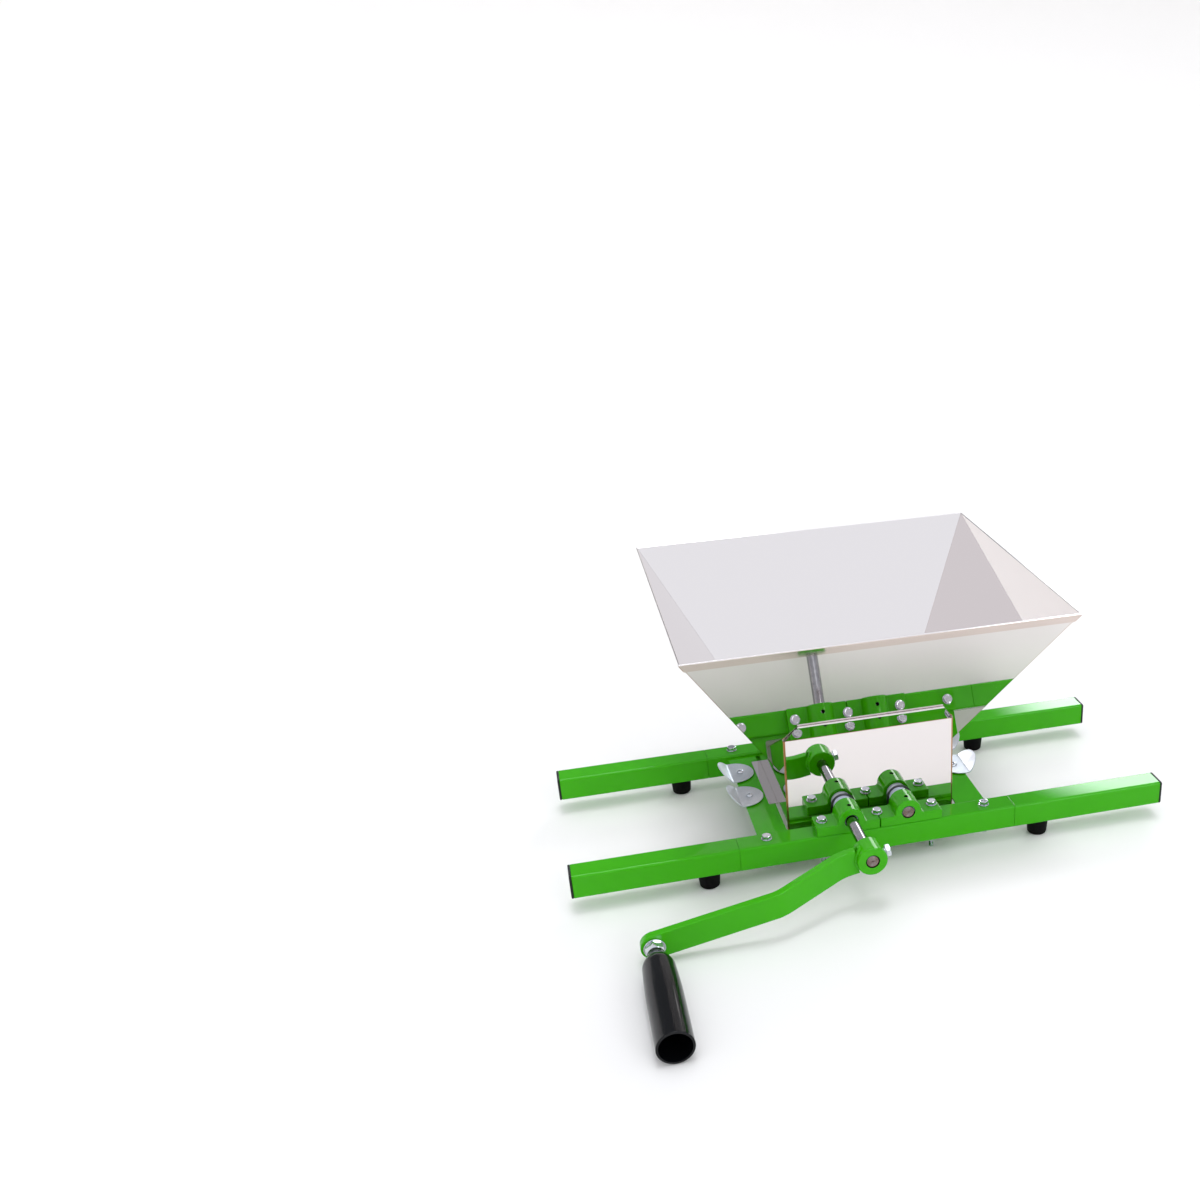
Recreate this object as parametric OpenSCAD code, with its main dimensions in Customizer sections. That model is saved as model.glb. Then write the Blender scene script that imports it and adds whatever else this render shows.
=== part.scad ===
// Hand cranked apple scratter: a sheet steel hopper feeds two toothed rollers that turn against
// each other in a frame of two square tubes. The rollers are coupled by a pair of gears and
// driven by a crank at the front.
// X runs along the tubes, +Y points to the back, +Z is up. The feet stand on z = 0.

/* [Frame] */
// Outer side of the square tubes
tube_s = 30; // [26:1:36]
// Wall of the square tubes
tube_wall = 1.5; // [1:0.25:2.5]
// Outer corner radius of the square tubes
tube_corner_r = 3; // [2:0.5:4]
// Length of the two middle rails
rail_l = 340; // [320:5:400]
// Length of each pull out arm outside the rail
arm_l = 193; // [120:5:240]
// Length of the arm's insert inside the rail
insert_l = 60; // [45:5:70]
// Wall of the arm's insert tube
insert_wall = 2; // [1.5:0.25:3]
// Distance of an arm bolt from the end of its rail
arm_bolt_in = 35; // [25:1:40]
// Width of the cross plate outside the clamp screws
plate_margin = 8.5; // [6:0.5:12]
// Thickness of the cross plate
plate_t = 3; // [2:0.5:4]
// Depth of the cross plate under the tops of the tubes
plate_drop = 4; // [3:0.5:6]
// Clear distance between the duct and the sides of the plate's opening
opening_play = 2.5; // [1.5:0.5:4]

/* [Feet and caps] */
// Diameter of a rubber foot at the tube
foot_d = 27; // [22:1:30]
// Height of a rubber foot
foot_h = 20; // [17:1:30]
// Distance of a foot from the middle of the frame
foot_x = 206; // [190:1:280]
// Diameter of a foot screw
foot_screw_d = 5; // [4:0.5:6]
// Thickness of an end cap outside the tube
cap_t = 3; // [2:0.5:5]
// Depth of an end cap inside the tube
cap_plug_l = 12; // [8:1:20]
// Wall of an end cap's hollow plug
cap_wall = 2; // [1.5:0.5:3]

/* [Bearings and shafts] */
// Diameter of both shafts
shaft_d = 14; // [12:0.5:16]
// Height of the shafts above the tops of the tubes
shaft_h = 15; // [14:0.5:18]
// Number of teeth of each gear
gear_teeth = 14; // [14:1:15]
// Module of the gears, which also sets the distance of the shafts
gear_module = 5; // [4.9:0.05:5.1]
// Width of the gears' teeth
gear_w = 18; // [14:0.5:20]
// Diameter of a gear's hub
gear_hub_d = 30; // [26:1:34]
// Length of a gear's hub in front of its teeth
gear_hub_l = 11.5; // [9:0.5:14]
// Clear distance between the gears and the duct
gear_clear = 5; // [2:0.5:8]
// Diameter of a bearing block's round boss
boss_d = 32; // [31:0.5:35]
// Length of a bearing block's foot beside the shaft's axis
block_side = 42; // [40:1:46]
// Height of a bearing block's foot
block_foot_h = 12; // [9:0.5:13]
// Outer diameter of a plastic bush
bush_d = 24; // [20:0.5:26]
// Thickness of the lip that holds a bush in its block
block_lip = 3; // [2:0.5:5]
// Diameter of the oil hole in a block
oil_hole_d = 5; // [2:0.5:5]
// Distance of the oil hole from the outer face of its block
oil_hole_in = 11; // [9:1:15]
// Distance of an outer block bolt from the block's end
block_bolt_in = 9; // [8:0.5:10]
// Length of a block bolt's thread that shows past its nut
block_bolt_past = 10; // [2:0.5:12]

/* [Rollers] */
// Diameter over the rollers' teeth
roller_tip_d = 84; // [78:1:86]
// Diameter of a roller's core
roller_core_d = 52; // [44:1:53]
// Number of toothed rings on each roller
ring_count = 8; // [6:1:9]
// Number of teeth on each ring
ring_teeth = 8; // [6:1:10]
// Depth of a roller's teeth
ring_tooth_h = 12; // [8:0.5:14]
// Diameter of the pins through rollers and gears
pin_d = 5; // [4:0.5:6]

/* [Hopper] */
// Thickness of the stainless sheet
sheet_t = 1.2; // [0.8:0.1:1.5]
// Width of the hopper's rim
rim_w = 450; // [420:5:480]
// Depth of the hopper's rim
rim_depth = 402; // [380:2:430]
// Height of the rim above the table
rim_h = 309; // [290:1:340]
// Distance of the rim's middle behind the duct's middle
rim_back = 5; // [0:1:12]
// Width of the straight duct under the slopes
duct_w = 208; // [204:1:209]
// Depth of the straight duct
duct_depth = 156; // [154:1:158]
// Clear distance between the duct and the rear tube
duct_clear = 3; // [2:0.5:6]
// Height of the duct's upper end above the table
duct_top_h = 103; // [98:1:110]
// Depth that the duct reaches under the cross plate
duct_under = 5; // [3:0.5:10]
// Width of the hem folded over the rim
hem_w = 11; // [8:1:16]
// Width of the two flanges on the cross plate
flange_w = 11; // [10:0.5:13]
// Length of the two flanges
flange_l = 116; // [100:2:130]

/* [Gear guard] */
// Distance of the guard's face behind the front tube
guard_stand = 11; // [8:0.5:16]
// Drop of the guard's upper bend below the point where its face would meet the slope
guard_bend_drop = 3; // [1:0.5:8]
// Height of the guard's upper flange
guard_flange_h = 22; // [18:1:34]
// Clear distance round the bushes in the guard's notches
notch_play = 3.5; // [1:0.25:4]

/* [Clamps] */
// Diameter of a clamp disc
clamp_d = 51; // [48:1:52]
// Distance of a clamp disc's middle from its screw
clamp_offset = 8.5; // [7:0.5:9]
// Thickness of a clamp disc
clamp_t = 1.5; // [1:0.25:2]
// Distance of a clamp's screw from the edge of the hopper's flange
clamp_stand = 19.5; // [16:0.5:22]
// Distance between the two clamps of one side
clamp_pitch = 64; // [60:1:70]
// Distance of a clamp's bend from its screw
clamp_bend = 14; // [12:0.5:15]
// Angle of a clamp's thumb tab to its disc
clamp_tab_angle = 45; // [40:5:85]
// Diameter of a clamp screw
clamp_screw_d = 5; // [4:0.5:6]

/* [Crank] */
// Distance from the shaft's axis to the grip's axis
crank_r = 255; // [220:5:300]
// Diameter of the crank's hub
hub_d = 35; // [32:1:40]
// Length of the crank's hub
hub_l = 26; // [22:1:32]
// Distance from the front blocks to the hub
hub_gap = 66; // [30:1:90]
// Width of the flat bar
bar_w = 30; // [24:1:32]
// Thickness of the flat bar
bar_t = 10; // [8:0.5:12]
// Distance that the bar is bent forward
bar_joggle = 35; // [15:1:40]
// Diameter of the handle bolt
handle_bolt_d = 12; // [10:0.5:12]
// Length of the plastic grip
grip_l = 153; // [130:1:180]
// Diameter of the grip at its open end
grip_d = 39; // [35:0.5:40]
// Diameter of the grip's neck
grip_neck_d = 20; // [19:0.5:22]
// Wall of the grip at its open end
grip_wall = 2.5; // [2:0.25:3.5]

/* [Fasteners] */
// Diameter of the frame's bolts
bolt_d = 6; // [5:0.5:6]
// Diameter of the crank's set screw
set_screw_d = 8; // [6:0.5:8]
// Diameter of the washers on the frame
washer_d = 13; // [12:0.5:14]
// Width across flats per bolt diameter
across_flats_share = 1.66; // [1.6:0.02:1.7]
// Height of a bolt's head per bolt diameter
head_h_share = 0.67; // [0.6:0.01:0.75]
// Height of a nut per bolt diameter
nut_h_share = 0.83; // [0.7:0.01:0.9]
// Diameter of the handle's washer or a foot screw's head per bolt diameter
washer_share = 2; // [1.9:0.05:2.2]
// Thickness of the washers
washer_t = 1.6; // [1:0.1:2]
// Length of thread that shows past the other nuts
thread_past = 1.5; // [1:0.5:5]

/* [Fits] */
// Clear distance of pieces that are fixed in each other
fixed_fit = 0.05; // [0.03:0.01:0.1]
// Clear distance round a turning shaft or pin
running_fit = 0.06; // [0.05:0.01:0.1]
// Clear distance round a bolt in its hole
bolt_fit = 0.25; // [0.15:0.05:0.4]
// Clear distance of the arm's insert in the rail
insert_fit = 0.2; // [0.1:0.05:0.3]
// End play of turning pieces
end_play = 0.3; // [0.2:0.1:0.6]

/* [Hidden] */
$fn = 48;
hex_fn = 6;
overrun = 1;

green = "limegreen";
black = "dimgray";
zinc = "silver";
stainless = "gainsboro";
alloy = "darkgray";
bush_white = "aliceblue";

// Along Y the front tube, the guard, the gears, the duct and the rear tube follow each other
gear_room = sheet_t + end_play + gear_hub_l + gear_w + gear_clear;
tube_gap = guard_stand + gear_room + duct_depth + duct_clear;
guard_y = -tube_gap / 2 + guard_stand;
duct_front_y = guard_y + gear_room;
duct_rear_y = duct_front_y + duct_depth;
duct_mid_y = (duct_front_y + duct_rear_y) / 2;

// Along X the duct, its flanges, the clamps and the edges of the cross plate follow each other
clamp_x = duct_w / 2 + flange_w + clamp_stand;
plate_w = 2 * (clamp_x + plate_margin);
opening_w = duct_w + 2 * opening_play;

// Frame
tube_y = (tube_gap + tube_s) / 2;
tube_top = foot_h + tube_s;
tube_in = tube_s - 2 * tube_wall;
least_corner_r = 0.4;
tube_inner_r = max(tube_corner_r - tube_wall, least_corner_r);
corner_steps = 5;
insert_s = tube_in - 2 * insert_fit;
// The insert is welded in the arm, where it runs a little into the wall
weld_depth = 0.1;
insert_weld_l = 30;
arm_bolt_x = rail_l / 2 - arm_bolt_in;
plate_top = tube_top - plate_drop;
plate_bottom = plate_top - plate_t;
opening_margin = 5;
opening_rear_margin = 1.5;
opening_front = -tube_gap / 2 + opening_margin;
opening_rear = tube_gap / 2 - opening_rear_margin;

// Hopper
rim_front_y = duct_mid_y + rim_back - rim_depth / 2;
rim_rear_y = duct_mid_y + rim_back + rim_depth / 2;
duct_bottom = plate_bottom - duct_under;
fold_steps = 6;

// Bearings, shafts and gears
axis_z = tube_top + shaft_h;
gear_pitch_r = gear_teeth * gear_module / 2;
shaft_x = gear_pitch_r;
block_gap = 1;
block_l = shaft_x + block_side - block_gap / 2;
block_bolt_x = shaft_x + block_side - block_bolt_in;
block_depth = tube_s;
block_front_y = tube_y + tube_s / 2;
lip_play = 1;
block_lip_hole_d = shaft_d + 2 * lip_play;
shaft_recess = 0.5;
bush_end_y = guard_y + sheet_t;
bush_rear_gap = 1.5;
bush_rear_end_y = duct_rear_y + bush_rear_gap;
gear_hub_front = bush_end_y + end_play;
gear_front = gear_hub_front + gear_hub_l;
gear_pressure = 25;
gear_add = gear_module;
gear_ded_share = 1.25;
gear_backlash = 0.4;
gear_tip_r = gear_pitch_r + gear_add;
gear_root_r = gear_pitch_r - gear_module * gear_ded_share;
gear_base_r = gear_pitch_r * cos(gear_pressure);
flank_steps = 6;

// Rollers
roller_play = 1.2;
roller_front = duct_front_y + sheet_t + roller_play;
roller_rear = duct_rear_y - sheet_t - roller_play;
roller_l = roller_rear - roller_front;
ring_gap = 0.5;
ring_pitch = roller_l / ring_count;
ring_t = ring_pitch / 2 - 2 * ring_gap;
pin_inset = 1;

// Clamps
clamp_shift = 3;
clamp_y = duct_mid_y + clamp_shift;
clamp_play = 0.15;
spacer_d = 12;
spacer_t = sheet_t + clamp_play;
clamp_z = plate_top + spacer_t;
clamp_head_d = 9.5;
clamp_head_h = 3;
clamp_key_d = 3.4;
clamp_key_depth = 1.6;
clamp_tab_inset = 0.2;

// Crank
hub_rear_y = -block_front_y - hub_gap;
hub_front_y = hub_rear_y - hub_l;
hub_mid_y = (hub_rear_y + hub_front_y) / 2;
table_gap = 1;
crank_drop = axis_z - grip_d / 2 - table_gap;
crank_rest = asin(crank_drop / crank_r);
bar_start = hub_d / 2 + fixed_fit;
joggle_start = 24;
joggle_end = 118;
bar_steps = 16;
bar_front_y = hub_mid_y - bar_joggle - bar_t / 2;
bar_rear_y = bar_front_y + bar_t;
handle_nut_h = handle_bolt_d * nut_h_share;
handle_thin_nut_h = handle_bolt_d / 2;
handle_washer_t = 2.5;
grip_start_y = bar_front_y - handle_washer_t - handle_nut_h - end_play;
grip_end_y = grip_start_y - grip_l;
grip_flare_l = 26;
grip_full_l = 80;
grip_flare_share = 0.905;
grip_shoulder = 22;
grip_narrow_l = 44;
grip_bore_d = grip_d - 2 * grip_wall;
grip_socket_d = 21;
handle_head_d = 18;
handle_head_h = 12;
handle_key_d = 11.5;
handle_key_depth = 6;
set_screw_clear = 1;

// The origin is under the middle of the whole object's box
origin_y = (grip_end_y + rim_rear_y) / 2;

// Points of a square of side s with rounded corners of radius r, centred
function rounded_square(s, r) = [
    for (corner = [0:3], step = [0:corner_steps])
        let (
            turn = corner * 90,
            a = turn + 90 * step / corner_steps,
            c = s / 2 - r,
            cx = c * (corner == 0 || corner == 3 ? 1 : -1),
            cy = c * (corner < 2 ? 1 : -1)
        )
        [cx + r * cos(a), cy + r * sin(a)]
];

module placed() {
    translate([0, -origin_y, 0]) children();
}

// Runs its children's Z axis along +X
module along_x() {
    rotate([0, 90, 0]) children();
}

// Runs its children's Z axis along +Y
module along_y() {
    rotate([-90, 0, 0]) children();
}

// Children as drawn for the +X side, mirrored where side is -1
module on_side(side) {
    mirror([side < 0 ? 1 : 0, 0, 0]) children();
}

module both_sides() {
    for (side = [-1, 1]) on_side(side) children();
}

module square_bar(s, r, l) {
    along_x() linear_extrude(l) polygon(rounded_square(s, r));
}

module tube(s, r, wall, l) {
    difference() {
        square_bar(s, r, l);
        translate([-overrun, 0, 0])
            square_bar(s - 2 * wall, max(r - wall, least_corner_r), l + 2 * overrun);
    }
}

module upright_hole(d, low, high) {
    translate([0, 0, low - overrun]) cylinder(d = d, h = high - low + 2 * overrun);
}

// Frame

module rail(y) {
    difference() {
        translate([-rail_l / 2, y, foot_h + tube_s / 2]) tube(tube_s, tube_corner_r, tube_wall, rail_l);
        for (x = [-arm_bolt_x, -block_bolt_x, 0, block_bolt_x, arm_bolt_x])
            translate([x, y, 0]) upright_hole(bolt_d + 2 * bolt_fit, foot_h, tube_top);
    }
}

module front_tube() {
    color(green) rail(-tube_y);
}

module rear_tube() {
    color(green) rail(tube_y);
}

module cross_plate() {
    color(green) difference() {
        translate([-plate_w / 2, -tube_gap / 2, plate_bottom]) cube([plate_w, tube_gap, plate_t]);
        translate([-opening_w / 2, opening_front, plate_bottom - overrun])
            cube([opening_w, opening_rear - opening_front, plate_t + 2 * overrun]);
        at_clamps() upright_hole(clamp_screw_d + 2 * fixed_fit, plate_bottom, plate_top);
    }
}

// An arm on the +X side: the outer tube, and the insert that slides into the rail
module arm(y) {
    difference() {
        translate([rail_l / 2, y, foot_h + tube_s / 2]) {
            tube(tube_s, tube_corner_r, tube_wall, arm_l);
            difference() {
                union() {
                    square_bar(tube_in + 2 * weld_depth, tube_inner_r + weld_depth, insert_weld_l);
                    translate([-insert_l, 0, 0]) square_bar(insert_s, tube_inner_r, insert_l + weld_depth);
                }
                translate([-insert_l - overrun, 0, 0])
                    square_bar(insert_s - 2 * insert_wall, least_corner_r,
                        insert_l + insert_weld_l + 2 * overrun);
            }
        }
        translate([arm_bolt_x, y, 0]) upright_hole(bolt_d + 2 * bolt_fit, foot_h, tube_top);
        translate([foot_x, y, 0])
            upright_hole(foot_screw_d + 2 * fixed_fit, foot_h - overrun, foot_h + tube_wall + insert_wall);
    }
}

module arm_front_left() {
    color(green) mirror([1, 0, 0]) arm(-tube_y);
}

module arm_front_right() {
    color(green) arm(-tube_y);
}

module arm_rear_left() {
    color(green) mirror([1, 0, 0]) arm(tube_y);
}

module arm_rear_right() {
    color(green) arm(tube_y);
}

module at_tube_ends() {
    for (x = [-1, 1], y = [-1, 1])
        on_side(x) translate([rail_l / 2 + arm_l, y * tube_y, foot_h + tube_s / 2]) children();
}

module end_caps() {
    plug_s = tube_in - 2 * insert_fit;
    color(black) at_tube_ends() {
        square_bar(tube_s, tube_corner_r, cap_t);
        translate([-cap_plug_l, 0, 0]) tube(plug_s, tube_inner_r, cap_wall, cap_plug_l + cap_t / 2);
    }
}

module at_feet() {
    for (x = [-1, 1], y = [-1, 1]) translate([x * foot_x, y * tube_y, 0]) children();
}

foot_recess_d_share = 2.4;
foot_recess_h_share = 0.45;
foot_recess_d = foot_screw_d * foot_recess_d_share;
foot_recess_h = foot_h * foot_recess_h_share;
foot_edge_r = 3;
foot_taper = 1.5;
foot_screw_head_h = 3;
foot_screw_in = 8;

module rubber_feet() {
    bottom_r = foot_d / 2 - foot_taper;
    color(black) at_feet() rotate_extrude() polygon(concat(
        [[foot_recess_d / 2, 0]],
        [for (step = [0:corner_steps]) let (a = -90 + 90 * step / corner_steps)
            [bottom_r - foot_edge_r + foot_edge_r * cos(a), foot_edge_r + foot_edge_r * sin(a)]],
        [[foot_d / 2, foot_h], [foot_screw_d / 2 + fixed_fit, foot_h],
         [foot_screw_d / 2 + fixed_fit, foot_recess_h], [foot_recess_d / 2, foot_recess_h]]
    ));
}

module foot_screws() {
    color(zinc) at_feet() {
        translate([0, 0, foot_recess_h - foot_screw_head_h])
            cylinder(d = foot_screw_d * washer_share, h = foot_screw_head_h);
        translate([0, 0, foot_recess_h - foot_screw_head_h / 2])
            cylinder(d = foot_screw_d, h = foot_h - foot_recess_h + foot_screw_head_h / 2 + foot_screw_in);
    }
}

// Fasteners

// A bolt that points down, with the underside of its head at z = 0
module hex_bolt(d, l) {
    head_h = d * head_h_share;
    cylinder(r = d * across_flats_share / sqrt(3), h = head_h, $fn = hex_fn);
    translate([0, 0, -l]) cylinder(d = d, h = l + head_h / 2);
}

module washer() {
    difference() {
        cylinder(d = washer_d, h = washer_t);
        upright_hole(bolt_d + 2 * bolt_fit, 0, washer_t);
    }
}

module hex_nut(d, h) {
    difference() {
        cylinder(r = d * across_flats_share / sqrt(3), h = h, $fn = hex_fn);
        upright_hole(d + 2 * fixed_fit, 0, h);
    }
}

module at_arm_bolts() {
    for (x = [-1, 1], y = [-1, 1]) translate([x * arm_bolt_x, y * tube_y, 0]) children();
}

module arm_bolts() {
    l = tube_s + 2 * washer_t + bolt_d * nut_h_share + thread_past;
    color(zinc) at_arm_bolts() translate([0, 0, tube_top + washer_t]) hex_bolt(bolt_d, l);
}

module arm_washers() {
    color(zinc) at_arm_bolts() {
        translate([0, 0, tube_top]) washer();
        translate([0, 0, foot_h - washer_t]) washer();
    }
}

module arm_nuts() {
    color(zinc) at_arm_bolts()
        translate([0, 0, foot_h - washer_t - bolt_d * nut_h_share]) hex_nut(bolt_d, bolt_d * nut_h_share);
}

module at_block_bolts() {
    for (x = [-1, 0, 1], y = [-1, 1]) translate([x * block_bolt_x, y * tube_y, 0]) children();
}

module block_bolts() {
    l = block_foot_h + tube_s + 2 * washer_t + bolt_d * nut_h_share + block_bolt_past;
    color(zinc) at_block_bolts()
        translate([0, 0, tube_top + block_foot_h + washer_t]) hex_bolt(bolt_d, l);
}

module block_washers() {
    color(zinc) at_block_bolts() {
        translate([0, 0, tube_top + block_foot_h]) washer();
        translate([0, 0, foot_h - washer_t]) washer();
    }
}

module block_nuts() {
    color(zinc) at_block_bolts()
        translate([0, 0, foot_h - washer_t - bolt_d * nut_h_share]) hex_nut(bolt_d, bolt_d * nut_h_share);
}

// Bearings

// A block on the front tube and the +X side. Its lip is at the front, and the bush enters from behind
module bearing_block() {
    front = -block_front_y;
    difference() {
        union() {
            translate([block_gap / 2, front, tube_top]) cube([block_l, block_depth, block_foot_h]);
            translate([shaft_x, front, axis_z]) along_y() cylinder(d = boss_d, h = block_depth);
        }
        translate([-boss_d, front - overrun, tube_top - boss_d])
            cube([2 * block_l + boss_d, block_depth + 2 * overrun, boss_d]);
        translate([shaft_x, front - overrun, axis_z]) along_y()
            cylinder(d = block_lip_hole_d, h = block_depth);
        translate([shaft_x, front + block_lip, axis_z]) along_y()
            cylinder(d = bush_d + 2 * fixed_fit, h = block_depth);
        translate([shaft_x, front + oil_hole_in, axis_z]) cylinder(d = oil_hole_d, h = boss_d);
        for (x = [0, block_bolt_x])
            translate([x, -tube_y, 0])
                upright_hole(bolt_d + 2 * bolt_fit, tube_top, tube_top + block_foot_h);
    }
}

module block_front_drive() {
    color(green) mirror([1, 0, 0]) bearing_block();
}

module block_front_driven() {
    color(green) bearing_block();
}

module block_rear_drive() {
    color(green) rotate([0, 0, 180]) bearing_block();
}

module block_rear_driven() {
    color(green) mirror([0, 1, 0]) bearing_block();
}

// A plastic bush from one Y to another, with its oil hole
module bush(from_y, to_y, oil_y) {
    difference() {
        translate([0, from_y, axis_z]) along_y() cylinder(d = bush_d, h = to_y - from_y);
        translate([0, from_y - overrun, axis_z]) along_y()
            cylinder(d = shaft_d + 2 * running_fit, h = to_y - from_y + 2 * overrun);
        translate([0, oil_y, axis_z]) cylinder(d = oil_hole_d, h = bush_d);
    }
}

module bearing_bushes() {
    lip_y = block_front_y - block_lip;
    oil_y = block_front_y - oil_hole_in;
    color(bush_white) for (x = [-shaft_x, shaft_x]) translate([x, 0, 0]) {
        bush(-lip_y, bush_end_y, -oil_y);
        bush(bush_rear_end_y, lip_y, oil_y);
    }
}

// Shafts, gears and rollers

shaft_chamfer = 1;

module shaft(from_y, to_y) {
    l = to_y - from_y;
    r = shaft_d / 2;
    translate([0, from_y, axis_z]) along_y() rotate_extrude() polygon([
        [0, 0], [r - shaft_chamfer, 0], [r, shaft_chamfer],
        [r, l - shaft_chamfer], [r - shaft_chamfer, l], [0, l]
    ]);
}

// The pins lie in the gaps between the rings, which the driven roller has half a pitch further on
rings_before_pin_count = 3;
pin_share = 0.75;
driven_start_share = 0.5;
drive_pin_y = roller_front + (rings_before_pin_count + pin_share) * ring_pitch;
driven_pin_y = drive_pin_y - driven_start_share * ring_pitch;
gear_pin_y = (gear_hub_front + gear_front) / 2;
roller_pin_l = roller_core_d - 2 * pin_inset;
gear_pin_l = gear_hub_d - 2 * pin_inset;

module pin_hole(y, l) {
    translate([0, y, axis_z - l / 2 - overrun])
        cylinder(d = pin_d + 2 * fixed_fit, h = l + 2 * overrun);
}

module drive_shaft() {
    color(zinc) translate([-shaft_x, 0, 0]) difference() {
        shaft(hub_front_y + shaft_recess, block_front_y - shaft_recess);
        pin_hole(drive_pin_y, shaft_d);
        pin_hole(gear_pin_y, shaft_d);
    }
}

module driven_shaft() {
    color(zinc) translate([shaft_x, 0, 0]) difference() {
        shaft(-block_front_y + shaft_recess, block_front_y - shaft_recess);
        pin_hole(driven_pin_y, shaft_d);
        pin_hole(gear_pin_y, shaft_d);
    }
}

function polar(r, a) = [r * cos(a), r * sin(a)];

// Points of one toothed ring: each tooth rises to a narrow tip and falls back in a hook
ring_tip_share = 0.52;
ring_land_share = 0.08;
ring_heel_share = 0.74;
function ring_outline() = [
    for (tooth = [0:ring_teeth - 1])
        let (
            step = 360 / ring_teeth,
            tip = roller_tip_d / 2,
            root = tip - ring_tooth_h
        )
        each [
            polar(root, tooth * step),
            polar(tip, (tooth + ring_tip_share) * step),
            polar(tip, (tooth + ring_tip_share + ring_land_share) * step),
            polar(root, (tooth + ring_heel_share) * step)
        ]
];

// A roller with its first ring at start_share of a ring pitch. A turn of 1 mirrors its teeth
module roller(start_share, turn, pin_y) {
    difference() {
        translate([0, roller_front, axis_z]) along_y() union() {
            cylinder(d = roller_core_d, h = roller_l);
            for (ring = [0:ring_count - 1])
                translate([0, 0, (ring + start_share) * ring_pitch + ring_gap])
                    rotate([0, 0, ring * 180 / ring_teeth]) mirror([0, turn, 0])
                        linear_extrude(ring_t) polygon(ring_outline());
        }
        translate([0, roller_front - overrun, axis_z]) along_y()
            cylinder(d = shaft_d + 2 * fixed_fit, h = roller_l + 2 * overrun);
        pin_hole(pin_y, roller_core_d);
    }
}

module drive_roller() {
    color(alloy) translate([-shaft_x, 0, 0]) roller(0, 0, drive_pin_y);
}

module driven_roller() {
    color(alloy) translate([shaft_x, 0, 0]) roller(driven_start_share, 1, driven_pin_y);
}

// Involute angle, in degrees, at radius r
function involute_angle(r) =
    let (a = r <= gear_base_r ? 0 : acos(gear_base_r / r))
    tan(a) * 180 / PI - a;

// Half of a tooth's angle at radius r
function tooth_half(r) =
    90 / gear_teeth - gear_backlash / 2 / gear_pitch_r * 180 / PI / 2
    + involute_angle(gear_pitch_r) - involute_angle(r);

function gear_outline() =
    let (radii = concat(
        [gear_root_r],
        [for (step = [0:flank_steps]) gear_base_r + (gear_tip_r - gear_base_r) * step / flank_steps]
    ))
    [
        for (tooth = [0:gear_teeth - 1])
            let (mid = tooth * 360 / gear_teeth)
            each concat(
                [for (r = radii) polar(r, mid - tooth_half(r))],
                [for (n = [len(radii) - 1:-1:0]) polar(radii[n], mid + tooth_half(radii[n]))]
            )
    ];

// A spur gear with its hub at the front. turn puts a tooth or a gap on the line between the shafts
module gear(turn) {
    difference() {
        translate([0, 0, axis_z]) union() {
            translate([0, gear_hub_front, 0]) along_y() cylinder(d = gear_hub_d, h = gear_hub_l + gear_w / 2);
            translate([0, gear_front, 0]) along_y() linear_extrude(gear_w)
                rotate([0, 0, turn]) polygon(gear_outline());
        }
        translate([0, gear_hub_front - overrun, axis_z]) along_y()
            cylinder(d = shaft_d + 2 * fixed_fit, h = gear_hub_l + gear_w + 2 * overrun);
        pin_hole(gear_pin_y, gear_hub_d);
    }
}

module drive_gear() {
    color(alloy) translate([-shaft_x, 0, 0]) gear(0);
}

module driven_gear() {
    color(alloy) translate([shaft_x, 0, 0]) gear(180 + 180 / gear_teeth);
}

module cross_pin(y, l) {
    translate([0, y, axis_z - l / 2]) cylinder(d = pin_d, h = l);
}

module drive_pins() {
    color(zinc) translate([-shaft_x, 0, 0]) {
        cross_pin(drive_pin_y, roller_pin_l);
        cross_pin(gear_pin_y, gear_pin_l);
    }
}

module driven_pins() {
    color(zinc) translate([shaft_x, 0, 0]) {
        cross_pin(driven_pin_y, roller_pin_l);
        cross_pin(gear_pin_y, gear_pin_l);
    }
}

// Hopper

// Section of one wall, as distances outwards and heights. duct is the duct's half width and
// rim the rim's. The sheet rises, leans out and is folded back over its own outside
function wall_section(duct, rim) =
    let (
        fold = [rim - sheet_t, rim_h - sheet_t],
        lean = atan((fold.x - duct) / (fold.y - duct_top_h)),
        up = [sin(lean), cos(lean)],
        out = [cos(lean), -sin(lean)],
        hem_end = fold - hem_w * up
    )
    concat(
        [[duct, duct_bottom], [duct, duct_top_h], hem_end, hem_end + sheet_t * out],
        [for (step = [0:fold_steps]) let (a = -lean + 180 * step / fold_steps)
            fold + sheet_t * [cos(a), sin(a)]],
        [[duct - sheet_t, duct_top_h + sheet_t * tan(lean / 2)], [duct - sheet_t, duct_bottom]]
    );

// The plan corners of the duct and of the rim, in order round the hopper
function duct_corner(x, y) = [x * duct_w / 2, y < 0 ? duct_front_y : duct_rear_y];
function rim_corner(x, y) = [
    x * (rim_w / 2 - sheet_t),
    y < 0 ? rim_front_y + sheet_t : rim_rear_y - sheet_t
];
mitre_share = 0.1;
function mitre_point(x, y, s) = duct_corner(x, y) + s * (rim_corner(x, y) - duct_corner(x, y));

// Keeps the part of a wall between the mitres at two corners
module mitred(a, b) {
    intersection() {
        children();
        translate([0, 0, duct_bottom - overrun]) linear_extrude(rim_h - duct_bottom + 2 * overrun)
            polygon([
                mitre_point(a.x, a.y, -mitre_share), mitre_point(a.x, a.y, 1 + mitre_share),
                mitre_point(b.x, b.y, 1 + mitre_share), mitre_point(b.x, b.y, -mitre_share)
            ]);
    }
}

// Outline of a notch that is open at the bottom, round a shaft at the origin
notch_steps = 16;
function notch_outline(r, depth) = concat(
    [for (step = [0:notch_steps]) polar(r, 180 * step / notch_steps)],
    [[-r, -depth], [r, -depth]]
);

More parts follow.
